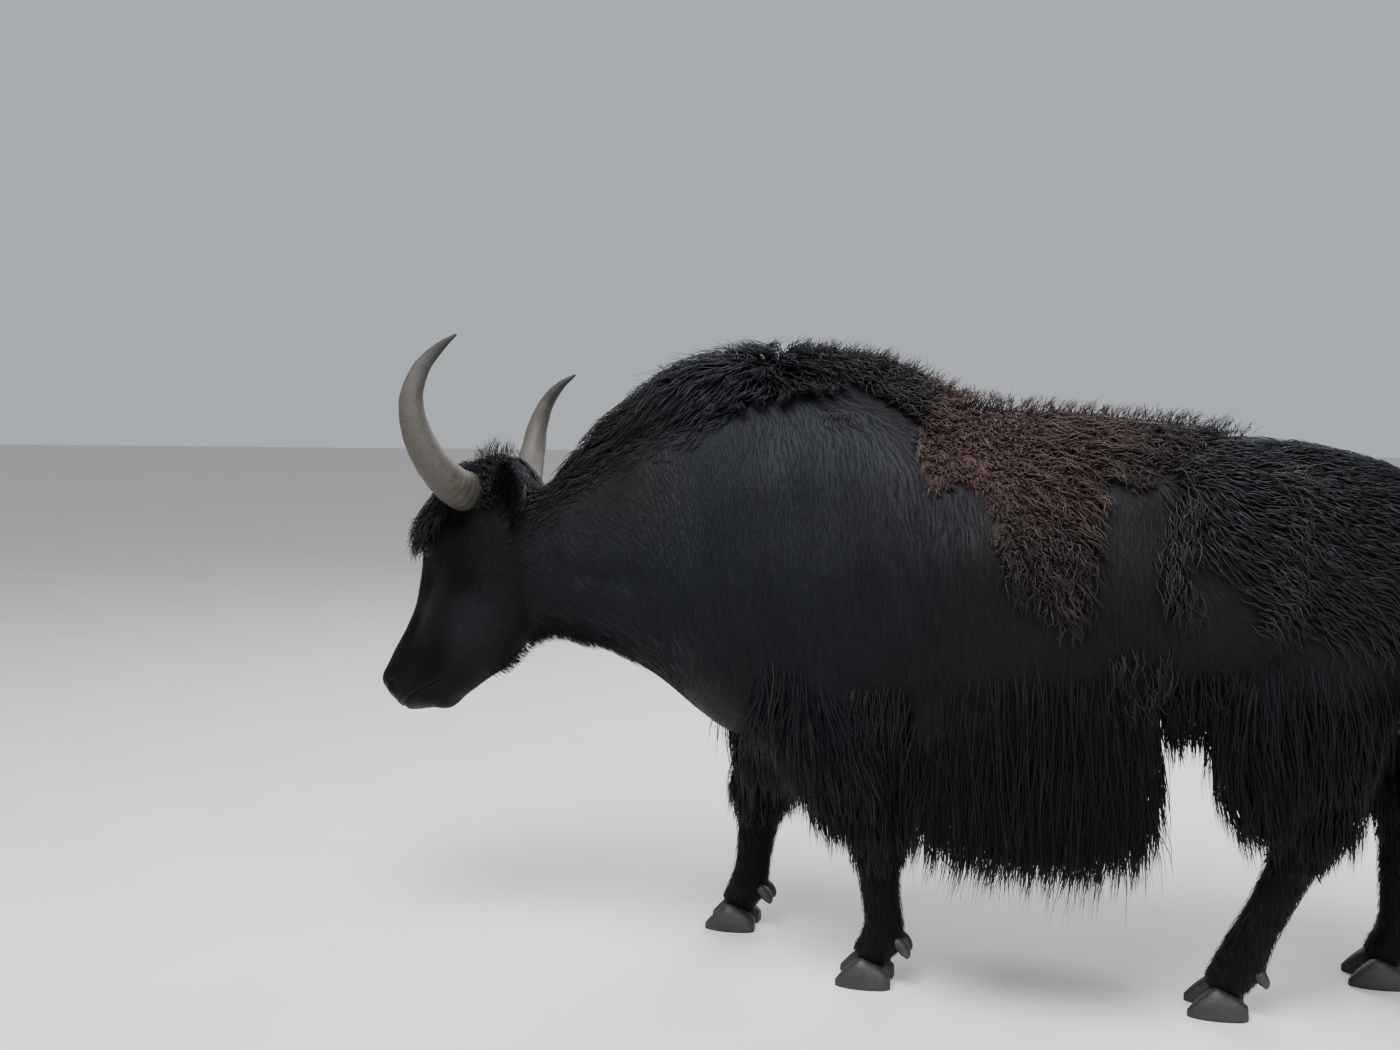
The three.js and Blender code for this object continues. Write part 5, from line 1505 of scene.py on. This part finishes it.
grow(
    "elbow_hair", roots, length=170, width=3.2, thick=1.3, lift=12, lie=straight_down, sway=0.1, curl=5,
    lock=10, vary=0.12, seed=154,
)
on_tail = (cx > 1205) * (cz < 960)
roots = scatter(on_tail, 8.5, 152)
fall = np.clip(roots["root"][:, 2] - 345, 40, 330)
grow(
    "tail_hair", roots, length=fall, width=4.4, thick=1.7, lift=14, lie=straight_down, sway=0.06, curl=7,
    waves=0.9, lock=14, seed=152,
)

# %% [markdown]
# ## Hair of the head
#
# A forelock hangs over the forehead, a tuft stands on the poll between the horns, brows shade
# the eyes, and the ears have a fringe.

# %% Forelock, poll and brows
def forelock_lie(points, outward):
    return laid_flat(np.tile(down_face, (len(points), 1)), outward, 0.3 * ripple(points, 40, 46))


def up_and_back(points, outward):
    lie = np.tile(head_up * 1.0 - head_forward * 0.45, (len(points), 1))
    return unit(lie + outward * 0.2)


def over_crown(points, outward):
    """Down over the forehead in front, back and down behind the horns."""
    behind = 1 - fade(head_places(points)[1], 0, 60)
    return laid_flat(mix(down_face, -head_forward * 0.8 - head_up * 0.5, behind[:, None]), outward)


def head_patch(along, out, left, along_reach, out_reach, left_reach):
    """1 inside an ellipsoid round one place of the head, and round its mirrored place."""
    away = ((c_along - along) / along_reach) ** 2 + ((c_out - out) / out_reach) ** 2
    away = away + ((np.abs(c_left) - left) / left_reach) ** 2
    return (away < 1) * open_coat * (cx < -880)


roots = scatter(head_patch(104, 70, 52, 132, 78, 76), 6.2, 161)
hang_down = head_places(roots["root"])[0]
grow(
    "forelock", roots, length=mix(92, 60, fade(hang_down, 40, 200)), width=2.8, thick=1.2, lift=22,
    stations=6, lie=forelock_lie, hang=0.5, rise=0.42, sway=0.3, curl=4, waves=1.0, lock=11, gather=0.7,
    root_dark=0.5, vary=0.16, seed=161,
)
roots = scatter(head_patch(172, 72, 70, 40, 40, 36), 5.2, 162)
grow(
    "brows", roots, length=54, width=2.4, thick=1.0, lift=18, lie=forelock_lie, hang=0.6, rise=0.6,
    sway=0.25, curl=3, waves=0.9, lock=9, gather=0.7, root_dark=0.5, vary=0.16, seed=162,
)
roots = scatter(head_patch(-26, 40, 0, 40, 40, 52), 7.4, 163)
grow(
    "poll_tuft", roots, length=56, width=1.3, thick=0.6, lift=12, stations=6, lie=up_and_back, rise=0.2,
    sway=0.8, curl=8, waves=0.9, lock=6, seed=163,
)
roots = scatter(head_patch(20, 0, 60, 92, 110, 66) * (facings[:, 2] > -0.3), 6.0, 164)
grow(
    "crown_hair", roots, length=34, width=2.6, thick=1.0, lift=7, stations=4, hug=True, lie=over_crown,
    sway=0.35, curl=2, lock=6, gather=0.4, root_dark=0.45, tip_light=1.1, vary=0.16, seed=164,
)

# %% [markdown]
# ## Eyes
#
# The eyeball is a glassy ball with a dark brown iris and, as in all cattle, a pupil that lies
# level. A UV sphere is enough, with its cornea drawn out a little in front.

# %% Eyeballs
hard = []
iris_radius, cornea_rise = 11.5, 1.3
pupil_half_length, pupil_half_height = 7.5, 3.6
for name, side in (("left", 1), ("right", -1)):
    deselect()
    centre = on_head([eye_along], [eye_out], [eye_left * side])[0]
    bpy.ops.mesh.primitive_uv_sphere_add(segments=64, ring_count=48, radius=eye_radius / 1000)
    eye = bpy.context.object
    eye.name = f"eyeball_{name}"
    gaze = unit(to_left * side + down_face * 0.12 + out_of_face * 0.16)
    level = unit(down_face - gaze * (down_face @ gaze))
    rise = np.cross(gaze, level)
    local = points_of(eye) * 1000
    sideways, tall, deep = local[:, 0], local[:, 1], local[:, 2]
    from_axis = np.hypot(sideways, tall)
    cornea = cornea_rise * (1 - fade(from_axis, 0, iris_radius)) * (deep > 0)
    placed = centre + np.outer(sideways, level) + np.outer(tall, rise) + np.outer(deep + cornea, gaze)
    set_points(eye, to_metres(placed))
    take(eye)
    bpy.ops.object.mode_set(mode="EDIT")
    bpy.ops.mesh.select_all(action="SELECT")
    bpy.ops.mesh.normals_make_consistent(inside=False)
    bpy.ops.object.mode_set(mode="OBJECT")
    bpy.ops.object.shade_smooth()
    in_pupil = np.hypot(sideways / pupil_half_length, tall / pupil_half_height)
    set_number(eye, "iris", np.where(deep > 0, from_axis / iris_radius, 2))
    set_number(eye, "pupil", np.where(deep > 0, in_pupil, 2))
    hard.append((eye, f"eye_{name}", "eye"))

# %% [markdown]
# ## Horns
#
# Each horn leaves the skull to the side and turns forward and up to a point. Old growth shows
# as low rings near the root, and the surface is finely ridged lengthwise.

# %% Horns
# Each line: to the side of the poll, forward, up; the radius.
horn_rows = [
    (62, 20, -44, 46), (112, 26, -49, 49), (168, 38, -28, 45), (224, 59, 23, 39), (264, 74, 90, 33),
    (281, 75, 158, 27), (281, 53, 222, 20), (276, 11, 270, 12), (276, -33, 300, 3),
]


def horn_ring(aside, forward, up, radius, side):
    x, y, z = poll + to_left * aside * side + head_forward * forward + head_up * up
    return ring(x, y, z, radius, radius)


for name, side in (("left", 1), ("right", -1)):
    horn_form = Form([(*row, side) for row in horn_rows], horn_ring, across=head_forward)
    horn = roll(f"horn_sheath_{name}", horn_form, 170, 40)
    points = to_stations(points_of(horn))
    tip = len(horn_rows) - 1
    fine = np.linspace(0, tip, 400)
    line = horn_form.read(fine)[:, :3]
    nearest = np.array([np.argmin(np.sum((line - p) ** 2, axis=1)) for p in points])
    place = fine[nearest]
    axis = line[nearest]
    outward = unit(points - axis)
    rings_fade = 1 - fade(place, 1.2, 3.6)
    ring_height = 0.5 * np.sin(place * 26 + 0.6 * np.sin(place * 7)) * rings_fade
    ring_height += 0.5 * ripple(points, 40, 51) * (1 - fade(place, 5, 7.5))
    set_points(horn, to_metres(points + outward * ring_height[:, None]))
    set_number(horn, "along", place / tip)
    take(horn)
    bpy.ops.object.shade_smooth()
    hard.append((horn, f"horn_{name}", "horn"))

# %% [markdown]
# ## Hooves
#
# A cloven hoof is two claws, each a wall of horn that is highest above the toe, with a flat
# sole. Two small dewclaws sit behind each fetlock.

# %% Claws and dewclaws
claw_length, claw_half, claw_height, claw_spread, claw_splay = 124, 29, 64, 33, math.radians(5)
# Each line: behind the foot's middle, outwards, up; half the width and the height.
dewclaw_rows = [
    (62, 19, 111, 5, 5), (67, 20, 107, 12, 12), (84, 23, 96, 15.5, 14.5), (96, 25, 80, 12.5, 11.5),
    (100, 26, 69, 5, 4),
]


class Claw:
    """A claw as a form that runs from heel to toe, flat underneath."""

    first = 0.0
    last = 1.0
    at = [0, 0.1, 0.32, 0.55, 0.76, 0.92, 1]
    halves = [0.55, 0.86, 1, 0.98, 0.78, 0.46, 0.16]
    heights = [0.46, 0.62, 0.86, 1, 0.72, 0.4, 0.22]

    def __init__(self, foot, outer):
        self.ahead = np.array([-math.cos(claw_splay), outer * math.sin(claw_splay), 0])
        self.across = np.cross([0, 0, 1], self.ahead)
        self.heel = np.array([foot[0] + claw_length * 0.5, foot[1] + outer * claw_spread, 0])

    def points(self, place, angle, grow=0.0):
        high = claw_height * smooth_line(self.at, self.heights, place)
        half = claw_half * smooth_line(self.at, self.halves, place)
        rise = 0.36 * high + 0.64 * high * bulge(0.7, np.sin(angle))
        wide = half * bulge(0.8, np.cos(angle)) * (1 - 0.28 * np.maximum(rise / high, 0))
        centre = self.heel + np.outer(claw_length * place, self.ahead)
        placed = centre + np.outer(wide, self.across)
        placed[:, 2] = np.maximum(rise, 0)
        return placed


for name, leg in legs.items():
    for where, outer in (("outer", leg["side"]), ("inner", -leg["side"])):
        claw = roll(f"hoof_{name}_{where}", Claw(leg["foot"], outer), 44, 48)
        points = to_stations(points_of(claw))
        growth = 0.35 * np.sin(points[:, 2] * 0.9 + ripple(points, 60, 52)) * fade(points[:, 2], 3, 12)
        set_points(claw, to_metres(points + normals_of(claw) * growth[:, None]))
        take(claw)
        bpy.ops.object.shade_smooth_by_angle(angle=math.radians(40))
        hard.append((claw, f"claw_{name}_{where}", "hoof"))
        x, y = leg["foot"]
        toe = Form([(x + back, y + outer * aside, up, *reach) for back, aside, up, *reach in dewclaw_rows])
        dewclaw = roll(f"dewclaw_horn_{name}_{where}", toe, 20, 20)
        take(dewclaw)
        bpy.ops.object.shade_smooth()
        hard.append((dewclaw, f"dewclaw_{name}_{where}", "hoof"))
print("hard pieces", len(hard))

# %% [markdown]
# ## Lashes and ear fringe
#
# Long lashes hang from the upper lid, and soft hair fills the mouth of each ear.

# %% Lashes and ear fringe
lash_roots = {"root": [], "outward": [], "map": []}
for side in (1, -1):
    for angle in np.linspace(0.12 * math.pi, 0.88 * math.pi, 34):
        du = (eye_length + 1) * math.cos(angle)
        dv = (eye_upper + 1) * abs(math.sin(angle)) ** 1.15
        outwards = eye_left + math.sqrt((eye_radius + 2.4) ** 2 - du**2 - dv**2)
        root = on_head([eye_along + du], [eye_out + dv], [outwards * side])[0]
        lash_roots["root"].append(root)
        lash_roots["outward"].append(unit(to_left * side + out_of_face * 0.6))
        index = tree.find_nearest(to_metres(root).tolist())[2]
        lash_roots["map"].append(skin_map[loops[index]].mean(axis=0))
lash_roots = {key: np.array(value) for key, value in lash_roots.items()}


def lash_lie(points, outward):
    side = np.sign(head_places(points)[2])[:, None]
    return unit(np.tile(out_of_face * 0.35 + down_face * 0.25, (len(points), 1)) + side * to_left * 0.9)


grow(
    "lashes", lash_roots, length=17, width=1.1, thick=0.7, lift=1, stations=4, lie=lash_lie, hang=0.4,
    sway=0.08, seed=171,
)


def ear_lie(points, outward):
    lie = np.zeros((len(points), 3))
    for side in (1, -1):
        ear = Ear(side)
        here = (np.sign(head_places(points)[2]) == side)[:, None]
        lie = np.where(here, ear.lie * 0.75 - ear.back * 0.55, lie)
    return unit(lie + outward * 0.15)


roots = scatter(on_ear(centres), 6.0, 172)
grow(
    "ear_hair", roots, length=20, width=1.9, thick=0.8, lift=2, stations=4, lie=ear_lie, rise=0.05,
    sway=0.2, curl=1, vary=0.12, seed=172,
)
coat_triangles = sum(len(piece.data.polygons) for piece in coat.values())
print("coat pieces", len(coat), "triangles", coat_triangles)

# %% [markdown]
# ## Materials
#
# Each material starts from the real thing. One function adds a node with its settings and
# links, and the colours are written as sRGB hex, as a colour picker shows them.

# %% A node at a time
def add_node(material, kind, inputs=None, stops=(), **settings):
    """Adds a node with its settings, gives its inputs values or links, and returns its outputs.

    stops are the places and the colours or greys of a colour ramp.
    """
    made = material.node_tree.nodes.new(kind)
    for setting, value in settings.items():
        setattr(made, setting, value)
    for name, value in (inputs or {}).items():
        socket = made.inputs[name]
        if isinstance(value, bpy.types.NodeSocket):
            material.node_tree.links.new(value, socket)
        else:
            socket.default_value = value
    while stops and len(made.color_ramp.elements) < len(stops):
        made.color_ramp.elements.new(0.5)
    for number, (place, tone) in enumerate(stops):
        element = made.color_ramp.elements[number]
        element.position = place
        element.color = (*(linear(tone) if isinstance(tone, str) else [tone] * 3), 1)
    return made.outputs


def new_material(name):
    material = bpy.data.materials.new(name)
    material.use_nodes = True
    material.node_tree.nodes.clear()
    return material


multiplied = {"data_type": "RGBA", "blend_type": "MULTIPLY"}
faint_sheen = {"Sheen Weight": 0.02, "Sheen Roughness": 0.4, "Sheen Tint": (*linear("#c3cbd8"), 1)}
keratin_ior = 1.54
hair_ior = 1.45

# %% [markdown]
# ### Hair
#
# Guard hair is smooth dark keratin with a soft gloss along each tuft. Where it hangs in thick
# curtains it is dusty and duller, and the short summer coat is dullest, because its many tips
# scatter the light. Each tuft is a bundle of hairs, so a fine pattern is stretched along its own
# strip, about one line for each millimetre across.

# %% Hair
def hair_material(name, gloss, relief, darkest):
    """Hair in bundles: relief is the depth of its lines, and darkest their shade."""
    hair = new_material(name)
    coat_colour = add_node(hair, "ShaderNodeAttribute", attribute_name="coat")["Color"]
    strip = add_node(hair, "ShaderNodeUVMap", uv_map="strand")["UV"]
    stretched = add_node(hair, "ShaderNodeMapping", {"Vector": strip, "Scale": (4, 0.7, 1)})["Vector"]
    pattern = {"Vector": stretched, "Scale": 1.0, "Detail": 2.0, "Roughness": 0.6}
    lines = add_node(hair, "ShaderNodeTexNoise", pattern)["Fac"]
    dark_lines = add_node(hair, "ShaderNodeValToRGB", {"Fac": lines}, [(0.3, darkest), (0.7, 1.0)])["Color"]
    lined = add_node(hair, "ShaderNodeMix", {"Factor": 1.0, 6: coat_colour, 7: dark_lines}, **multiplied)[2]
    depth = {"Height": lines, "Strength": relief, "Distance": 0.0012}
    raised = add_node(hair, "ShaderNodeBump", depth)["Normal"]
    look = {"Base Color": lined, "Roughness": 0.5, "IOR": hair_ior, "Specular IOR Level": gloss}
    shader = add_node(hair, "ShaderNodeBsdfPrincipled", {**look, **faint_sheen, "Normal": raised})["BSDF"]
    add_node(hair, "ShaderNodeOutputMaterial", {"Surface": shader})
    return hair


long_hair = hair_material("yak guard hair", 0.25, 0.5, 0.72)
hanging_hair = hair_material("hanging coat hair", 0.13, 0.45, 0.76)
short_hair = hair_material("sleek summer coat", 0.1, 0.3, 0.82)
print("hair finishes", long_hair.name, hanging_hair.name, short_hair.name)

# %% [markdown]
# ### Skin under the coat
#
# Between the tufts the skin shows as more short hair: fine streaks in bump, upright on the body
# and slanting on the neck and rump, and the gaps between the streaks are painted darker as the
# shade between hairs. The muzzle, lips and lids are bare, dark and a little moist, with a pebbled
# grain of about 2 mm.

# %% Skin
slant_of_neck = math.radians(54)
hide = new_material("short-haired hide")
coat_colour = add_node(hide, "ShaderNodeAttribute", attribute_name="coat")["Color"]
bareness = add_node(hide, "ShaderNodeAttribute", attribute_name="bare")["Fac"]
slanting = add_node(hide, "ShaderNodeAttribute", attribute_name="slant")["Fac"]
space = add_node(hide, "ShaderNodeTexCoord")["Object"]
tilted = {"Vector": space, "Angle": slant_of_neck}
turned = add_node(hide, "ShaderNodeVectorRotate", tilted, rotation_type="Y_AXIS")["Vector"]
combed = []
for way in (space, turned):
    fine = add_node(hide, "ShaderNodeMapping", {"Vector": way, "Scale": (230, 230, 20)})["Vector"]
    combed.append(add_node(hide, "ShaderNodeTexNoise", {"Vector": fine, "Scale": 1.0, "Detail": 4.0})["Fac"])
both_ways = {0: slanting, 2: combed[0], 3: combed[1]}
streaks = add_node(hide, "ShaderNodeMix", both_ways, data_type="FLOAT")[0]
pebbles = add_node(hide, "ShaderNodeTexVoronoi", {"Vector": space, "Scale": 480.0})["Distance"]
relief = add_node(hide, "ShaderNodeMix", {0: bareness, 2: streaks, 3: pebbles}, data_type="FLOAT")[0]
# painted shade: the gaps between the streaks are darkened
shaded_gaps = add_node(hide, "ShaderNodeValToRGB", {"Fac": streaks}, [(0.3, 0.62), (0.65, 1.0)])["Color"]
gap_shaded = add_node(hide, "ShaderNodeMix", {"Factor": 0.9, 6: coat_colour, 7: shaded_gaps}, **multiplied)[2]
raised = add_node(hide, "ShaderNodeBump", {"Height": relief, "Strength": 0.5, "Distance": 0.002})["Normal"]
moist = add_node(hide, "ShaderNodeValToRGB", {"Fac": bareness}, [(0.0, 0.54), (1.0, 0.42)])["Color"]
look = {"Base Color": gap_shaded, "Roughness": moist, "IOR": hair_ior, "Specular IOR Level": 0.1}
shader = add_node(hide, "ShaderNodeBsdfPrincipled", {**look, **faint_sheen, "Normal": raised})["BSDF"]
add_node(hide, "ShaderNodeOutputMaterial", {"Surface": shader})

# %% [markdown]
# ### Horn and hoof
#
# Both are keratin that grows in layers. The horn is grey and tan, darkest at its root and tip,
# scuffed to a satin. The hoof is nearly black, with level growth lines 3 to 4 mm apart.

# %% Horn sheath
horn_tones = [(0.18, "#2a251f"), (0.31, "#3b352b"), (0.47, "#48423a"), (0.84, "#45413c"), (0.99, "#2c2a28")]
horn_sheath = new_material("weathered horn")
along_horn = add_node(horn_sheath, "ShaderNodeAttribute", attribute_name="along")["Fac"]
space = add_node(horn_sheath, "ShaderNodeTexCoord")["Object"]
stains = add_node(horn_sheath, "ShaderNodeTexNoise", {"Vector": space, "Scale": 30.0, "Detail": 7.0})["Fac"]
shifted = add_node(
    horn_sheath, "ShaderNodeMath", {0: stains, 1: 0.24, 2: along_horn}, operation="MULTIPLY_ADD",
)["Value"]
toned = add_node(horn_sheath, "ShaderNodeValToRGB", {"Fac": shifted}, horn_tones)["Color"]
grain = add_node(horn_sheath, "ShaderNodeTexNoise", {"Vector": space, "Scale": 260.0, "Detail": 5.0})["Fac"]
scuffs = add_node(horn_sheath, "ShaderNodeValToRGB", {"Fac": grain}, [(0.3, 0.6), (0.7, 1.12)])["Color"]
worn = add_node(horn_sheath, "ShaderNodeMix", {"Factor": 1.0, 6: toned, 7: scuffs}, **multiplied)[2]
depth = {"Height": grain, "Strength": 0.35, "Distance": 0.0008}
raised = add_node(horn_sheath, "ShaderNodeBump", depth)["Normal"]
look = {"Base Color": worn, "Roughness": 0.62, "IOR": keratin_ior, "Specular IOR Level": 0.35}
shader = add_node(horn_sheath, "ShaderNodeBsdfPrincipled", {**look, "Normal": raised})["BSDF"]
add_node(horn_sheath, "ShaderNodeOutputMaterial", {"Surface": shader})

# %% Hoof wall
hoof_tones = [(0.3, "#131110"), (0.55, "#1d1a17"), (0.8, "#302a25")]
hoof_wall = new_material("hoof wall")
space = add_node(hoof_wall, "ShaderNodeTexCoord")["Object"]
growth = {"Vector": space, "Scale": 90.0, "Distortion": 2.5, "Detail": 3.0, "Detail Scale": 2.0}
layers = add_node(hoof_wall, "ShaderNodeTexWave", growth, wave_type="BANDS", bands_direction="Z")["Fac"]
wear = add_node(hoof_wall, "ShaderNodeTexNoise", {"Vector": space, "Scale": 60.0, "Detail": 6.0})["Fac"]
toned = add_node(hoof_wall, "ShaderNodeValToRGB", {"Fac": wear}, hoof_tones)["Color"]
depth = {"Height": layers, "Strength": 0.4, "Distance": 0.0008}
raised = add_node(hoof_wall, "ShaderNodeBump", depth)["Normal"]
look = {"Base Color": toned, "Roughness": 0.55, "IOR": keratin_ior, "Normal": raised}
shader = add_node(hoof_wall, "ShaderNodeBsdfPrincipled", look)["BSDF"]
add_node(hoof_wall, "ShaderNodeOutputMaterial", {"Surface": shader})

# %% [markdown]
# ### Eye
#
# The iris is so dark that a bull's eye looks black until light falls in it. A clear wet surface
# gives the small bright reflection that makes it alive.

# %% Eye
iris_tones = [(0.3, "#160e09"), (0.8, "#110b08"), (0.96, "#060504"), (1.0, "#120e0c")]
wet_eye = new_material("wet eye")
from_middle = add_node(wet_eye, "ShaderNodeAttribute", attribute_name="iris")["Fac"]
from_pupil = add_node(wet_eye, "ShaderNodeAttribute", attribute_name="pupil")["Fac"]
iris = add_node(wet_eye, "ShaderNodeValToRGB", {"Fac": from_middle}, iris_tones)["Color"]
pupil = add_node(wet_eye, "ShaderNodeValToRGB", {"Fac": from_pupil}, [(0.9, 0.0), (1.0, 1.0)])["Color"]
eye_colour = add_node(wet_eye, "ShaderNodeMix", {"Factor": 1.0, 6: iris, 7: pupil}, **multiplied)[2]
look = {"Base Color": eye_colour, "Roughness": 0.14, "IOR": 1.36, "Specular IOR Level": 0.3}
shader = add_node(wet_eye, "ShaderNodeBsdfPrincipled", look)["BSDF"]
add_node(wet_eye, "ShaderNodeOutputMaterial", {"Surface": shader})
print("finishes", [material.name for material in (hide, horn_sheath, hoof_wall, wet_eye)])

# %% [markdown]
# ## Put the pieces in the model
#
# Every piece rides on the model's one body. The skin stands for all the nodes of flesh, and
# each horn, hoof and eye for its own node.

# %% Ride and replace
flesh_nodes = ["head", "neck", "shoulders", "barrel", "hindquarters", "ear_left", "ear_right"]
flesh_nodes += ["skirt_left", "skirt_right", "tail_root", "tail_switch"]
flesh_nodes += [f"leg_{name}_{part}" for name in legs for part in ("upper", "lower")]


def dress(piece, material):
    piece.data.materials.clear()
    piece.data.materials.append(material)
    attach(piece, "root")


dress(skin, hide)
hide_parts(*flesh_nodes)
for name, piece in coat.items():
    kind = name.split("_")[0]
    if kind in ("fur", "ear", "throat"):
        dress(piece, short_hair)
    elif kind in ("skirt", "sleeve", "tail"):
        dress(piece, hanging_hair)
    else:
        dress(piece, long_hair)
for piece, node, slot in hard:
    dress(piece, {"eye": wet_eye, "horn": horn_sheath, "hoof": hoof_wall}[slot])
    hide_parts(node)

# %% [markdown]
# ## Studio
#
# A plain pale floor, a large soft light from above like an overcast sky, and two weaker ones.
# Black fur swallows light, so the main light stands on the camera's side.

# %% Floor and light
deselect()
bpy.ops.mesh.primitive_plane_add(size=60, location=(0, 0, 0))
floor = bpy.context.object
floor.name = "floor"
pale = new_material("pale studio floor")
space = add_node(pale, "ShaderNodeTexCoord")["Object"]
mottle = add_node(pale, "ShaderNodeTexNoise", {"Vector": space, "Scale": 3.0})["Fac"]
toned = add_node(pale, "ShaderNodeValToRGB", {"Fac": mottle}, [(0.3, "#d3d1cc"), (0.7, "#d8d6d1")])["Color"]
shader = add_node(pale, "ShaderNodeBsdfPrincipled", {"Base Color": toned, "Roughness": 0.7})["BSDF"]
add_node(pale, "ShaderNodeOutputMaterial", {"Surface": shader})
floor.data.materials.append(pale)


def area_light(name, place, aim, size, power, colour):
    deselect()
    bpy.ops.object.light_add(type="AREA", location=place)
    lamp = bpy.context.object
    lamp.name = name
    lamp.rotation_euler = (Vector(aim) - Vector(place)).to_track_quat("-Z", "Y").to_euler()
    lamp.data.shape = "DISK"
    lamp.data.size = size
    lamp.data.energy = power
    lamp.data.color = linear(colour)


area_light("sky light", (-0.6, -2.3, 5.6), (0, 0, 0.8), 4.0, 800, "#f4f7ff")
area_light("fill light", (3.6, -4.2, 2.4), (0.2, 0, 0.7), 3.5, 90, "#ffffff")
area_light("rim light", (0.5, 4.2, 4.0), (0, 0, 0.9), 3.0, 260, "#eef3ff")
world = bpy.data.worlds.new("studio air")
bpy.context.scene.world = world
world.use_nodes = True
backdrop = world.node_tree.nodes["Background"]
backdrop.inputs["Color"].default_value = (*linear("#dfe5ec"), 1)
backdrop.inputs["Strength"].default_value = 0.66

# %% [markdown]
# ## Camera
#
# The photograph was taken from the left, a little above the bull's back, with its hind end cut
# off by the frame.

# %% Camera
camera_place = (0.295, -3.335, 1.33)
looks_down, looks_aside = math.radians(5.16), math.radians(13.7)
deselect()
bpy.ops.object.camera_add(location=camera_place, rotation=(math.radians(90) - looks_down, 0, looks_aside))
camera = bpy.context.object
camera.data.sensor_width = 36
camera.data.lens = 37.03
camera.data.dof.use_dof = False
bpy.context.scene.camera = camera
